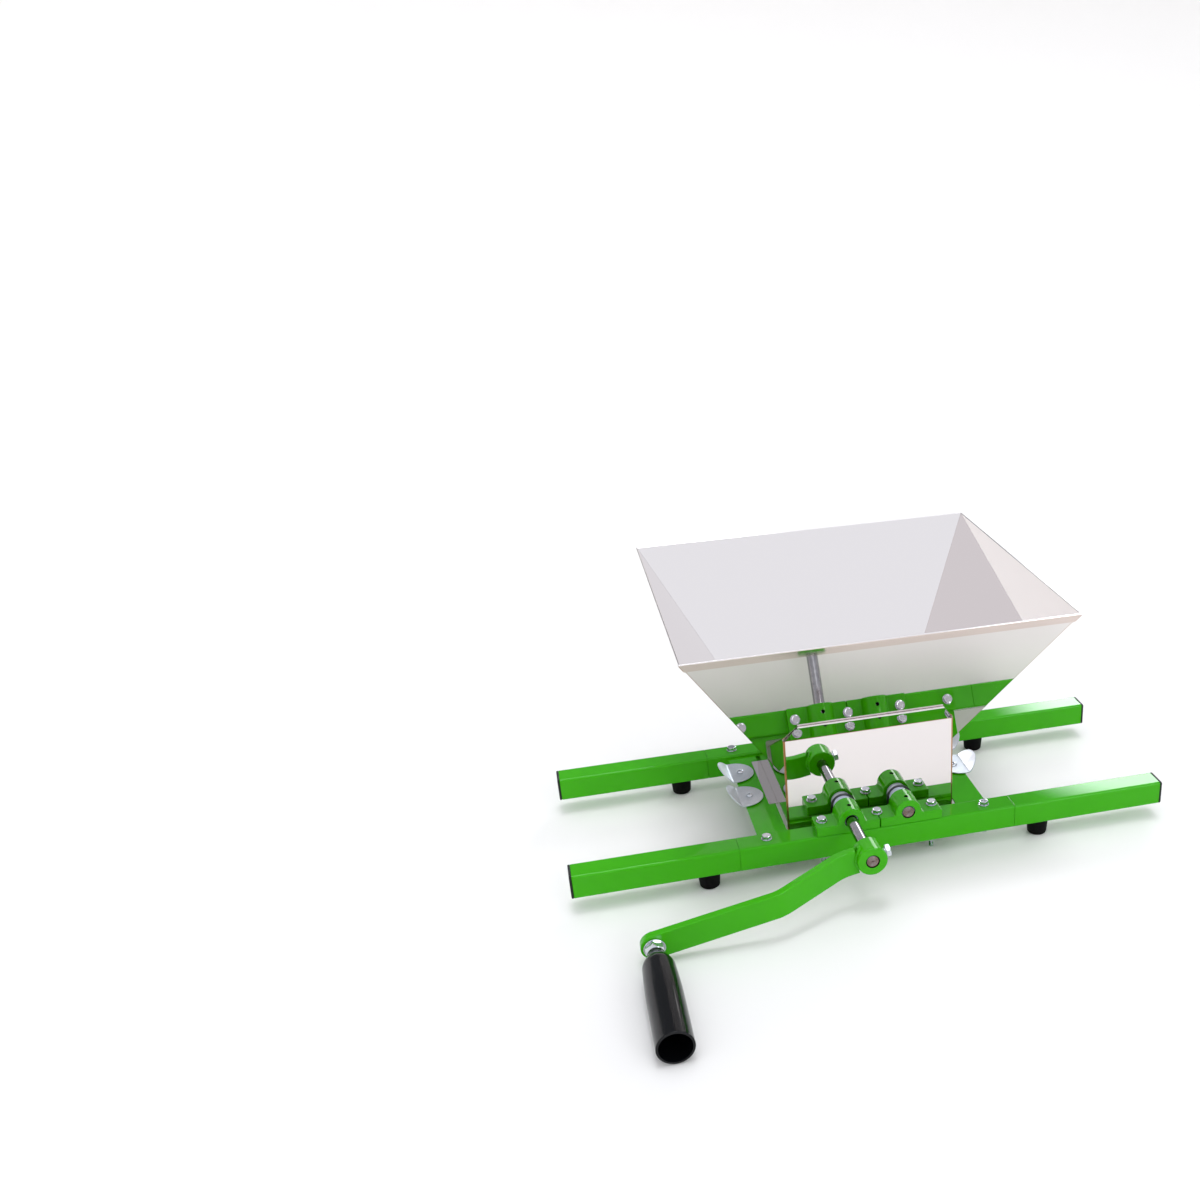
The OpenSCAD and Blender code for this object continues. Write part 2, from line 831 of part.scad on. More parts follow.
// Cuts the two shaft notches through a wall at y
module shaft_notches(r, y) {
    for (x = [-shaft_x, shaft_x])
        translate([x, y + sheet_t + overrun, axis_z]) rotate([90, 0, 0])
            linear_extrude(sheet_t + 2 * overrun)
                polygon(notch_outline(r, axis_z - duct_bottom + overrun));
}

wall_notch_r = shaft_d / 2 + 2;

module hopper_front() {
    color(stainless) difference() {
        mitred([-1, -1], [1, -1])
            translate([rim_w / 2, 0, 0]) rotate([90, 0, -90])
                linear_extrude(rim_w) polygon(wall_section(-duct_front_y, -rim_front_y));
        shaft_notches(wall_notch_r, duct_front_y);
    }
}

module hopper_rear() {
    color(stainless) difference() {
        mitred([1, 1], [-1, 1])
            translate([-rim_w / 2, 0, 0]) rotate([90, 0, 90])
                linear_extrude(rim_w) polygon(wall_section(duct_rear_y, rim_rear_y));
        shaft_notches(wall_notch_r, duct_rear_y - sheet_t);
    }
}

// The wall on the +X side, with the flange that rests on the cross plate
module side_wall() {
    mitred([1, -1], [1, 1])
        translate([0, rim_rear_y, 0]) rotate([90, 0, 0])
            linear_extrude(rim_depth) polygon(wall_section(duct_w / 2, rim_w / 2));
    translate([duct_w / 2 - sheet_t, clamp_y - flange_l / 2, plate_top])
        cube([flange_w + sheet_t, flange_l, sheet_t]);
}

module hopper_left() {
    color(stainless) mirror([1, 0, 0]) side_wall();
}

module hopper_right() {
    color(stainless) side_wall();
}

// Gear guard: a face plate, two sides bent back and a flange bent up against the hopper's slope

// Distance of the hopper's front slope from the frame's middle at height z
function slope_y(z) =
    let (
        fold_y = rim_front_y + sheet_t,
        fold_z = rim_h - sheet_t
    )
    duct_front_y + (fold_y - duct_front_y) * (z - duct_top_h) / (fold_z - duct_top_h);

// Height at which the hopper's front slope reaches the distance y
function slope_z(y) =
    let (
        fold_y = rim_front_y + sheet_t,
        fold_z = rim_h - sheet_t
    )
    duct_top_h + (fold_z - duct_top_h) * (y - duct_front_y) / (fold_y - duct_front_y);

guard_gap = 0.3;
guard_bend_h = slope_z(guard_y + sheet_t) - guard_bend_drop;
guard_flange_top = guard_bend_h + guard_flange_h;
guard_corner = 16;

module gear_guard() {
    back_y = duct_front_y - guard_gap;
    flange_half = duct_w / 2 - guard_corner;
    color(stainless) difference() {
        union() {
            translate([-duct_w / 2, guard_y, duct_bottom])
                cube([duct_w, sheet_t, guard_bend_h - duct_bottom]);
            // Sides that follow the slope of the hopper
            both_sides() translate([duct_w / 2 - sheet_t, 0, 0]) rotate([90, 0, 90])
                linear_extrude(sheet_t) polygon([
                    [guard_y, duct_bottom], [back_y, duct_bottom], [back_y, duct_top_h],
                    [slope_y(guard_bend_h - guard_gap) - guard_gap, guard_bend_h - guard_gap],
                    [guard_y, guard_bend_h - guard_gap]
                ]);
            // Flange with its upper corners cut off
            intersection() {
                translate([-duct_w / 2, 0, 0]) rotate([90, 0, 90]) linear_extrude(duct_w)
                    polygon([
                        [guard_y, guard_bend_h], [guard_y + sheet_t, guard_bend_h],
                        [slope_y(guard_flange_top) - fixed_fit, guard_flange_top],
                        [slope_y(guard_flange_top) - fixed_fit - sheet_t, guard_flange_top]
                    ]);
                rotate([90, 0, 0]) linear_extrude(tube_gap)
                    polygon([
                        [-duct_w / 2, guard_bend_h - overrun], [duct_w / 2, guard_bend_h - overrun],
                        [duct_w / 2, guard_bend_h], [flange_half, guard_flange_top],
                        [flange_half, guard_flange_top + overrun],
                        [-flange_half, guard_flange_top + overrun],
                        [-flange_half, guard_flange_top], [-duct_w / 2, guard_bend_h]
                    ]);
            }
        }
        shaft_notches(bush_d / 2 + notch_play, guard_y);
    }
}

// Clamps

module at_clamp(x, y) {
    translate([x * clamp_x, clamp_y + y * clamp_pitch / 2, 0]) children();
}

module at_clamps() {
    for (x = [-1, 1], y = [-1, 1]) at_clamp(x, y) children();
}

// Part of a flat disc of diameter d between two distances from its screw, which is off its middle
module disc_part(d, from_x, to_x) {
    linear_extrude(clamp_t) intersection() {
        translate([clamp_offset, 0]) circle(d = d);
        translate([from_x, -clamp_d / 2]) square([to_x - from_x, clamp_d]);
    }
}

// A disc with its thumb tab on the +X side. The tab turns about the middle of the sheet
module clamp_disc() {
    bend_z = clamp_z + clamp_t / 2;
    difference() {
        union() {
            translate([0, 0, clamp_z]) disc_part(clamp_d, -clamp_d, clamp_bend);
            translate([clamp_bend, 0, bend_z]) rotate([0, -clamp_tab_angle, 0])
                translate([-clamp_bend, 0, -clamp_t / 2])
                    disc_part(clamp_d - 2 * clamp_tab_inset, clamp_bend - clamp_t / 4, clamp_d);
        }
        upright_hole(clamp_screw_d + 2 * running_fit, clamp_z, clamp_z + clamp_t);
    }
}

module clamp_disc_front_left() {
    color(zinc) at_clamp(-1, -1) rotate([0, 0, 180]) clamp_disc();
}

module clamp_disc_rear_left() {
    color(zinc) at_clamp(-1, 1) rotate([0, 0, 180]) clamp_disc();
}

module clamp_disc_front_right() {
    color(zinc) at_clamp(1, -1) clamp_disc();
}

module clamp_disc_rear_right() {
    color(zinc) at_clamp(1, 1) clamp_disc();
}

module clamp_spacers() {
    color(zinc) at_clamps() difference() {
        translate([0, 0, plate_top]) cylinder(d = spacer_d, h = spacer_t - clamp_play / 2);
        upright_hole(clamp_screw_d + 2 * fixed_fit, plate_top, clamp_z);
    }
}

module clamp_screws() {
    under = clamp_z + clamp_t + clamp_play / 2;
    bottom = plate_bottom - washer_t - clamp_screw_d * nut_h_share - thread_past / 2;
    color(zinc) at_clamps() difference() {
        union() {
            translate([0, 0, under]) cylinder(d1 = clamp_head_d, d2 = clamp_screw_d, h = clamp_head_h);
            translate([0, 0, bottom]) cylinder(d = clamp_screw_d, h = under - bottom + clamp_head_h / 2);
        }
        translate([0, 0, under + clamp_head_h - clamp_key_depth])
            cylinder(d = clamp_key_d, h = clamp_key_depth + overrun, $fn = hex_fn);
    }
}

module clamp_nuts() {
    color(zinc) at_clamps()
        translate([0, 0, plate_bottom - clamp_screw_d * nut_h_share])
            hex_nut(clamp_screw_d, clamp_screw_d * nut_h_share);
}

// Crank

// The crank's own frame: the origin on the shaft's axis, -X along the bar at rest
module crank_frame() {
    translate([-shaft_x, 0, axis_z]) rotate([0, -crank_rest, 0]) children();
}

hub_mouth_d = shaft_d + 2;
hub_mouth_depth = 1.5;

module crank_hub() {
    color(green) crank_frame() difference() {
        translate([0, hub_front_y, 0]) along_y() cylinder(d = hub_d, h = hub_l);
        translate([0, hub_front_y - overrun, 0]) along_y()
            cylinder(d = shaft_d + 2 * fixed_fit, h = hub_l + 2 * overrun);
        translate([0, hub_front_y - overrun, 0]) along_y()
            cylinder(d = hub_mouth_d, h = hub_mouth_depth + overrun);
        translate([0, hub_mid_y, 0]) along_x() cylinder(d = set_screw_d + 2 * fixed_fit, h = hub_d);
    }
}

// Middle line of the bar: it leaves the hub straight, swings forward and runs on straight
function bar_swing(u) =
    let (t = min(1, max(0, (u - joggle_start) / (joggle_end - joggle_start))))
    bar_joggle * (3 * t * t - 2 * t * t * t);
function bar_slope(u) =
    let (t = min(1, max(0, (u - joggle_start) / (joggle_end - joggle_start))))
    bar_joggle * 6 * (t - t * t) / (joggle_end - joggle_start);
function bar_edge(side) = [
    for (step = [-1:bar_steps + 1])
        let (
            u = step < 0 ? 0 : step > bar_steps ? crank_r
                : joggle_start + (joggle_end - joggle_start) * step / bar_steps,
            tilt = atan(bar_slope(u))
        )
        [-u, hub_mid_y - bar_swing(u)] + side * bar_t / 2 * [-sin(tilt), cos(tilt)]
];
function reversed(list) = [for (n = [len(list) - 1:-1:0]) list[n]];

module crank_arm() {
    color(green) crank_frame() difference() {
        union() {
            translate([0, 0, -bar_w / 2]) linear_extrude(bar_w)
                polygon(concat(bar_edge(1), reversed(bar_edge(-1))));
            translate([-crank_r, bar_front_y, 0]) along_y() cylinder(d = bar_w, h = bar_t);
        }
        translate([0, hub_front_y - overrun, 0]) along_y()
            cylinder(r = bar_start, h = hub_l + 2 * overrun);
        translate([-crank_r, bar_front_y - overrun, 0]) along_y()
            cylinder(d = handle_bolt_d + 2 * fixed_fit, h = bar_t + 2 * overrun);
    }
}

module crank_set_screw() {
    color(zinc) crank_frame() translate([hub_d / 2 + set_screw_clear, hub_mid_y, 0])
        along_x() hex_bolt(set_screw_d, hub_d / 2 + set_screw_clear - shaft_d / 2 - fixed_fit);
}

module at_handle() {
    crank_frame() translate([-crank_r, 0, 0]) children();
}

module handle_bolt() {
    head_y = grip_start_y - grip_shoulder - end_play;
    back_y = bar_rear_y + handle_thin_nut_h + thread_past;
    color(zinc) at_handle() difference() {
        union() {
            translate([0, head_y - handle_head_h, 0]) along_y()
                cylinder(d = handle_head_d, h = handle_head_h);
            translate([0, head_y - handle_head_h / 2, 0]) along_y()
                cylinder(d = handle_bolt_d, h = back_y - head_y + handle_head_h / 2);
        }
        translate([0, head_y - handle_head_h - overrun, 0]) along_y()
            cylinder(d = handle_key_d, h = handle_key_depth + overrun, $fn = hex_fn);
    }
}

module handle_washer() {
    color(zinc) at_handle() translate([0, bar_front_y - handle_washer_t, 0]) along_y()
        difference() {
            cylinder(d = handle_bolt_d * washer_share, h = handle_washer_t);
            upright_hole(handle_bolt_d + 2 * fixed_fit, 0, handle_washer_t);
        }
}

// A full nut on the washer in front of the bar and a thin one behind it
module handle_nuts() {
    color(zinc) at_handle() {
        translate([0, bar_front_y - handle_washer_t - handle_nut_h, 0]) along_y()
            hex_nut(handle_bolt_d, handle_nut_h);
        translate([0, bar_rear_y, 0]) along_y() hex_nut(handle_bolt_d, handle_thin_nut_h);
    }
}

// Section of the hollow grip, as radii and distances from its neck. Its outside swells fast in
// a smooth curve from the neck and then slowly to its full width, and its inside follows it
grip_steps = 10;
function grip_radius(s) =
    let (t = min(1, s / grip_flare_l), smooth = t * t * (3 - 2 * t))
    s <= grip_flare_l
        ? grip_neck_d / 2 + (grip_d * grip_flare_share - grip_neck_d) / 2 * smooth
        : grip_d / 2 * (grip_flare_share + (1 - grip_flare_share)
            * sin(90 * min(1, (s - grip_flare_l) / (grip_full_l - grip_flare_l))));
function grip_section() = concat(
    [[handle_bolt_d / 2 + running_fit, 0]],
    [for (step = [0:grip_steps]) let (s = grip_flare_l * step / grip_steps) [grip_radius(s), s]],
    [for (step = [1:grip_steps])
        let (s = grip_flare_l + (grip_full_l - grip_flare_l) * step / grip_steps)
        [grip_radius(s), s]],
    [[grip_d / 2, grip_l], [grip_bore_d / 2, grip_l], [grip_bore_d / 2, grip_full_l],
     [grip_radius(grip_narrow_l) - grip_wall, grip_narrow_l],
     [grip_socket_d / 2, grip_shoulder + handle_head_h / 2], [grip_socket_d / 2, grip_shoulder],
     [handle_bolt_d / 2 + running_fit, grip_shoulder]]
);

module handle_grip() {
    color(black) at_handle() translate([0, grip_start_y, 0]) rotate([90, 0, 0])
        rotate_extrude() polygon(grip_section());
}

placed() front_tube();
placed() rear_tube();
placed() cross_plate();
placed() arm_front_left();
placed() arm_front_right();
placed() arm_rear_left();
placed() arm_rear_right();
placed() end_caps();
placed() rubber_feet();
placed() foot_screws();
placed() arm_bolts();
placed() arm_washers();
placed() arm_nuts();
placed() block_front_drive();
placed() block_front_driven();
placed() block_rear_drive();
placed() block_rear_driven();
placed() bearing_bushes();
placed() block_bolts();
placed() block_washers();
placed() block_nuts();
placed() drive_shaft();
placed() driven_shaft();
placed() drive_roller();
placed() driven_roller();
placed() drive_gear();
placed() driven_gear();
placed() drive_pins();
placed() driven_pins();
placed() hopper_front();
placed() hopper_rear();
placed() hopper_left();
placed() hopper_right();
placed() gear_guard();
placed() clamp_disc_front_left();
placed() clamp_disc_rear_left();
placed() clamp_disc_front_right();
placed() clamp_disc_rear_right();
placed() clamp_spacers();
placed() clamp_screws();
placed() clamp_nuts();
placed() crank_hub();
placed() crank_arm();
placed() crank_set_screw();
placed() handle_bolt();
placed() handle_washer();
placed() handle_nuts();
placed() handle_grip();
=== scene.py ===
import math
import bpy
import numpy as np
from mathutils import Matrix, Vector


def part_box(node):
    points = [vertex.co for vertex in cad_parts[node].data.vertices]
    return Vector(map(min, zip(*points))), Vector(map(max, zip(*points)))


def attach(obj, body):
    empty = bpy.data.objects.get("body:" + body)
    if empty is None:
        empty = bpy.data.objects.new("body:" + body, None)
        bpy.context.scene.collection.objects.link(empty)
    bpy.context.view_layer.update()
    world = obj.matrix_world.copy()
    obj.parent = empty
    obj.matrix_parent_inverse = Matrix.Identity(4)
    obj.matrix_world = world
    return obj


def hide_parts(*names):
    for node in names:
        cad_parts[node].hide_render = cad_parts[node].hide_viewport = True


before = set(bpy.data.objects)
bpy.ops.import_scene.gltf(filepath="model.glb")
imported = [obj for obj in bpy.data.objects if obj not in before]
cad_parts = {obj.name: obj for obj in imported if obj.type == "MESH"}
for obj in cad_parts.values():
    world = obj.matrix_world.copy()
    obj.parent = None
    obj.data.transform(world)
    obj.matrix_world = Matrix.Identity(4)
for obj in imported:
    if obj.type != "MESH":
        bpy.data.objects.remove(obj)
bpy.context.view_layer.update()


# The studio: a round pale table that sweeps up at its rim, in a soft white tent with a large
# softbox and a lamp overhead and a small softbox at each right hand corner. The camera stands
# where the photograph was taken, left of the hopper and above its rim.
mm = 0.001
photo_side = 1200
lens_pixels = 1266.81
optical_centre_x = 836.65
optical_centre_y = 720.82
camera_place = (-0.3463, -1.28432, 0.8305)
camera_pitch = math.radians(-26.239)
camera_yaw = math.radians(-13.416)
camera_roll = math.radians(-2.02)
sensor_width = 36
horizon_light = 0.25
front_light = 1.11
back_light = 0.38
tent_rise = 0.36
front_ends = -0.15
back_starts = 0.55
low_sky = "#E9E1DA"
high_sky = "#F2F6FC"
# Direction, half width and width of the soft edge in degrees, strength
softboxes = [
    ((0.05, 0.26, 0.9643), 16, 14, 1.2),
    ((0.05, 0.06, 0.9969), 6, 3, 11.0),
    ((0.50, 0.78, 0.37), 9, 3, 12.0),
    ((0.45, -0.80, 0.40), 6, 4, 8.0),
]


def linear(colour):
    """An sRGB hex colour as linear light: each channel to the power 2.4 above the toe"""
    channels = [int(colour[k:k + 2], 16) / 255 for k in (1, 3, 5)]
    return tuple(c / 12.92 if c <= 0.04045 else ((c + 0.055) / 1.055) ** 2.4 for c in channels) + (1,)


def feed(tree, node, inputs):
    """Gives each named socket of a node its constant, or a link from the output that feeds it"""
    for socket, value in inputs.items():
        if isinstance(value, bpy.types.NodeSocket):
            tree.links.new(value, node.inputs[socket])
        else:
            node.inputs[socket].default_value = value


def add(tree, kind, inputs=None, **settings):
    """Adds a node with its settings and feeds its sockets"""
    made = tree.nodes.new(kind)
    for name, value in settings.items():
        setattr(made, name, value)
    feed(tree, made, inputs or {})
    return made


def start_material(name):
    """A new material, its node tree and its shader"""
    made = bpy.data.materials.new(name)
    made.use_nodes = True
    return made, made.node_tree, made.node_tree.nodes["Principled BSDF"]


camera = bpy.data.objects.new("photo_camera", bpy.data.cameras.new("photo_camera"))
camera.data.sensor_width = sensor_width
camera.data.lens = lens_pixels * sensor_width / photo_side
camera.data.shift_x = 0.5 - optical_centre_x / photo_side
camera.data.shift_y = optical_centre_y / photo_side - 0.5
camera.matrix_world = (
    Matrix.Translation(camera_place)
    @ Matrix.Rotation(camera_yaw, 4, "Z")
    @ Matrix.Rotation(math.pi / 2 + camera_pitch, 4, "X")
    @ Matrix.Rotation(camera_roll, 4, "Z")
)
bpy.context.scene.collection.objects.link(camera)
bpy.context.scene.camera = camera
bpy.context.scene.view_settings.view_transform = "Standard"

tent = bpy.data.worlds.new("tent")
tent.use_nodes = True
bpy.context.scene.world = tent
sky = tent.node_tree
direction = add(sky, "ShaderNodeTexCoord").outputs["Generated"]
parts_of = add(sky, "ShaderNodeSeparateXYZ", {0: direction})
height = parts_of.outputs["Z"]
level = add(sky, "ShaderNodeMapRange", {"Value": height, "From Max": tent_rise, "To Min": horizon_light},
            interpolation_type="SMOOTHSTEP")
around = add(sky, "ShaderNodeMapRange",
             {"Value": parts_of.outputs["Y"], "From Min": front_ends, "From Max": back_starts,
              "To Min": front_light, "To Max": back_light},
             interpolation_type="SMOOTHSTEP")
glow = add(sky, "ShaderNodeMath", {0: level.outputs["Result"], 1: around.outputs["Result"]}, operation="MULTIPLY")
for towards, half_width, soft_edge, strength in softboxes:
    facing = add(sky, "ShaderNodeVectorMath", {0: direction, 1: towards}, operation="DOT_PRODUCT")
    edge, full = (math.cos(math.radians(angle)) for angle in (half_width + soft_edge, half_width))
    disc = add(sky, "ShaderNodeMapRange",
               {"Value": facing.outputs["Value"], "From Min": edge, "From Max": full, "To Max": strength},
               interpolation_type="SMOOTHSTEP")
    glow = add(sky, "ShaderNodeMath", {0: glow.outputs[0], 1: disc.outputs["Result"]}, operation="ADD")
warmth = add(sky, "ShaderNodeMapRange", {"Value": height, "From Max": tent_rise})
shade = add(sky, "ShaderNodeMix", {0: warmth.outputs["Result"], 6: linear(low_sky), 7: linear(high_sky)},
            data_type="RGBA")
feed(sky, sky.nodes["Background"], {"Color": shade.outputs[2], "Strength": glow.outputs[0]})

# The table's top is a polar grid: flat out to sweep_start, then a quarter circle of sweep_r
sweep_start = 3.2
sweep_r = 1.6
table_middle_r = 0.1
table_columns = 96
sweep_turn = np.radians(np.linspace(0, 90, 25))
table_r = np.concatenate([[table_middle_r], sweep_start + sweep_r * np.sin(sweep_turn)])[:, None]
table_z = np.concatenate([[0], sweep_r * (1 - np.cos(sweep_turn))])[:, None]
table_angle = np.linspace(0, 2 * math.pi, table_columns, endpoint=False)[None]
table_grid = np.stack([table_r * np.cos(table_angle), table_r * np.sin(table_angle), table_z + 0 * table_angle], 2)
row, column = np.mgrid[0:len(table_r) - 1, 0:table_columns] * np.array([table_columns, 1])[:, None, None]
right = (column + 1) % table_columns
table_quads = np.stack([row + column, row + right, row + table_columns + right, row + table_columns + column], -1)
table_faces = [list(range(table_columns))] + table_quads.reshape(-1, 4)[:, ::-1].tolist()
table_mesh = bpy.data.meshes.new("table_top")
table_mesh.from_pydata(table_grid.reshape(-1, 3).tolist(), [], table_faces)
table_mesh.shade_smooth()
table_top = bpy.data.objects.new("table_top", table_mesh)
bpy.context.scene.collection.objects.link(table_top)
table_paint, tree, skin = start_material("pale_table")
feed(tree, skin, {"Base Color": linear("#F1EEEB"), "Roughness": 0.8, "Specular IOR Level": 0.2})
table_mesh.materials.append(table_paint)


# The two middle rails and the four arms: square steel tube with rounded corners, cut square,
# deburred and powder coated leaf green. Each arm is butted to its rail over a welded insert.
tube_wall = 1.5 * mm
tube_corner = 3 * mm
cut_edge = 0.35 * mm
seam_gap = 0.15 * mm
insert_length = 60 * mm
insert_in_arm = 30 * mm
insert_play = 0.2 * mm
insert_wall = 2 * mm
# Edges that turn by less than this, in degrees, are shaded as one soft face
soft_angle = 32


def rounded(corners, radius, steps=6):
    """A closed outline whose corners are arcs, and the outward direction of each of its points.
    An arc's middle lies on the corner's bisector, at radius / cos(half of the turn)"""
    corners = np.asarray(corners, float)
    radius = np.broadcast_to(radius, len(corners))[:, None]
    along_in = corners - np.roll(corners, 1, 0)
    along_out = np.roll(corners, -1, 0) - corners
    along_in /= np.linalg.norm(along_in, axis=1, keepdims=True)
    along_out /= np.linalg.norm(along_out, axis=1, keepdims=True)
    turn = np.arctan2(
        along_in[:, 0] * along_out[:, 1] - along_in[:, 1] * along_out[:, 0], (along_in * along_out).sum(1)
    )
    side = np.sign(turn)[:, None]
    start = np.arctan2(-along_in[:, 0], along_in[:, 1])
    bisector = start + turn / 2
    middle = corners - side * radius / np.cos(turn / 2)[:, None] * np.stack([np.cos(bisector), np.sin(bisector)], 1)
    angle = start[:, None] + turn[:, None] * np.linspace(0, 1, steps + 1)
    outward = np.stack([np.cos(angle), np.sin(angle)], 2)
    return (middle[:, None] + (side * radius)[:, None] * outward).reshape(-1, 2), outward.reshape(-1, 2)


def square(width, height):
    """The corners of a rectangle round the origin"""
    return [(x * width / 2, y * height / 2) for x, y in ((-1, -1), (1, -1), (1, 1), (-1, 1))]


def layers(outline, steps, ring=False):
    """A shell of copies of an outline: each step gives its height and how far it is drawn in"""
    points, outward = outline
    height, drawn = np.array(steps, float).T
    flat = points[None] - drawn[:, None, None] * outward[None]
    lift = np.broadcast_to(height[:, None, None], flat.shape[:2] + (1,))
    return np.concatenate([flat, lift], 2), ring


def put(shell, place=(0, 0, 0), x=(1, 0, 0), y=(0, 1, 0), z=(0, 0, 1)):
    """A shell whose own axes are laid along x, y and z, and its origin at place"""
    points, ring = shell
    return points @ np.array([x, y, z], float) + np.array(place, float), ring


def build(name, shells, look, body, stands_for=(), sharp=soft_angle, folds=()):
    """One piece made of closed shells. A shell is rows of points, closed round each row. Its
    quads join row to row, and its ends are one face each, unless it is a ring of rows. Each
    shell is turned right way out by the sign of its volume. folds marks the points where a
    sheet is bent or welded, in the same rows"""
    points, faces, first = [], [], 0
    for grid, ring in shells:
        rows, columns = grid.shape[:2]
        flat = grid.reshape(-1, 3)
        row, column = np.mgrid[0:rows if ring else rows - 1, 0:columns]
        below, right = (row + 1) % rows * columns, (column + 1) % columns
        quads = np.stack([row * columns + column, row * columns + right, below + right, below + column], -1)
        quads = quads.reshape(-1, 4)
        a, b, c, d = (flat[quads[:, k]] - flat.mean(0) for k in range(4))
        volume = (a * np.cross(b, c)).sum() + (a * np.cross(c, d)).sum()
        for end, sign in () if ring else ((grid[0], -1), (grid[-1], 1)):
            end = end - flat.mean(0)
            volume += sign * (end.mean(0) * np.cross(end, np.roll(end, -1, 0))).sum()
        shell_faces = (quads + first).tolist()
        if not ring:
            last = first + (rows - 1) * columns
            shell_faces += [list(range(first, first + columns))[::-1], list(range(last, last + columns))]
        faces += shell_faces if volume > 0 else [face[::-1] for face in shell_faces]
        points.append(flat)
        first += len(flat)
    mesh = bpy.data.meshes.new(name)
    mesh.from_pydata(np.concatenate(points).tolist(), [], faces)
    mesh.shade_smooth()
    mesh.set_sharp_from_angle(angle=math.radians(sharp))
    mesh.materials.append(look)
    if folds:
        marks = np.concatenate([np.ravel(mark) for mark in folds])
        mesh.attributes.new("fold", "FLOAT", "POINT").data.foreach_set("value", marks)
    made = bpy.data.objects.new(name, mesh)
    bpy.context.scene.collection.objects.link(made)
    if body:
        made.modifiers.new("flat_faces_stay_flat", "WEIGHTED_NORMAL").keep_sharp = True
        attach(made, body)
        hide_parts(*(stands_for or [name.replace("_finish", "")]))
    return made


# Powder coat: a thick glossy polyester skin, baked on. It gives a faint orange peel a few
# millimetres wide, soft edges and a white sheen where it faces the tent.
peel_width = 2.2 * mm
peel_height = 0.08 * mm
coat_cloud = 45 * mm
green_coat, tree, skin = start_material("powder_coated_steel")
where = add(tree, "ShaderNodeTexCoord").outputs["Object"]
peel = add(tree, "ShaderNodeTexNoise", {"Vector": where, "Scale": 1 / peel_width, "Detail": 2.0})
cloud = add(tree, "ShaderNodeTexNoise", {"Vector": where, "Scale": 1 / coat_cloud, "Detail": 3.0})
green = add(tree, "ShaderNodeMix", {0: cloud.outputs["Fac"], 6: linear("#369E02"), 7: linear("#3DAA04")},
            data_type="RGBA")
gloss = add(tree, "ShaderNodeMapRange",
            {"Value": cloud.outputs["Fac"], "From Min": 0.3, "From Max": 0.7, "To Min": 0.2, "To Max": 0.28})
bumps = add(tree, "ShaderNodeBump", {"Height": peel.outputs["Fac"], "Strength": 0.12, "Distance": peel_height})
feed(tree, skin, {
    "Base Color": green.outputs[2], "Roughness": gloss.outputs["Result"], "Normal": bumps.outputs["Normal"],
    "Specular IOR Level": 0.0, "Coat Weight": 1.0, "Coat IOR": 1.3, "Coat Roughness": 0.04,
})


def tube(low, high, middle, side, corner, wall):
    """A square tube along X as a ring of rows: out over the skin, in over the cut ends"""
    steps = [(low + cut_edge, 0), (high - cut_edge, 0), (high, cut_edge), (high, wall), (low, wall), (low, cut_edge)]
    shell = layers(rounded(square(side, side), corner), steps, ring=True)
    return put(shell, (0, *middle), (0, 1, 0), (0, 0, 1), (1, 0, 0))


for rail in ("front_tube", "rear_tube"):
    low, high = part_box(rail)
    middle = ((low.y + high.y) / 2, (low.z + high.z) / 2)
    tube_side = high.z - low.z
    rail_end = high.x
    build(rail + "_finish", [tube(low.x + seam_gap, high.x - seam_gap, middle, tube_side, tube_corner, tube_wall)],
          green_coat, "frame")

insert_side = tube_side - 2 * (tube_wall + insert_play)
insert_corner = tube_corner - tube_wall
for arm in ("arm_front_left", "arm_front_right", "arm_rear_left", "arm_rear_right"):
    low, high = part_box(arm)
    middle = ((low.y + high.y) / 2, (low.z + high.z) / 2)
    outer = high.x if high.x > rail_end else -low.x
    spans = [(rail_end + seam_gap, outer), (rail_end - insert_length, rail_end + insert_in_arm)]
    if arm.endswith("left"):
        spans = [(-far, -near) for near, far in spans]
    build(arm + "_finish",
          [tube(*spans[0], middle, tube_side, tube_corner, tube_wall),
           tube(*spans[1], middle, insert_side, insert_corner, insert_wall)],
          green_coat, "frame")


# The end caps: injection moulded black polyethylene, a soft edged lid over a hollow plug that
# is pressed into the end of each arm.
cap_lid = 3 * mm
cap_edge = 1.1 * mm
cap_plug_length = 12 * mm
cap_plug_wall = 2 * mm
# Moulded polyethylene: the tool's fine even grain, half dull
tool_grain = 0.7 * mm
cap_black, tree, skin = start_material("moulded_polyethylene")
where = add(tree, "ShaderNodeTexCoord").outputs["Object"]
grain = add(tree, "ShaderNodeTexNoise", {"Vector": where, "Scale": 1 / tool_grain, "Detail": 3.0})
bumps = add(tree, "ShaderNodeBump", {"Height": grain.outputs["Fac"], "Strength": 0.25, "Distance": 0.05 * mm})
dull = add(tree, "ShaderNodeMapRange", {"Value": grain.outputs["Fac"], "To Min": 0.35, "To Max": 0.5})
feed(tree, skin, {
    "Base Color": linear("#101010"), "Roughness": dull.outputs["Result"], "Normal": bumps.outputs["Normal"],
    "Specular IOR Level": 0.3,
})


def soft_plate(outline, low, high, edge, steps=4):
    """A plate between two heights whose edges are quarter rounds of radius edge"""
    angle = np.linspace(0, math.pi / 2, steps + 1)
    rise, drawn = edge * (1 - np.cos(angle)), edge * (1 - np.sin(angle))
    heights = np.concatenate([low + rise, (high - rise)[::-1]])
    return layers(outline, np.stack([heights, np.concatenate([drawn, drawn[::-1]])], 1))


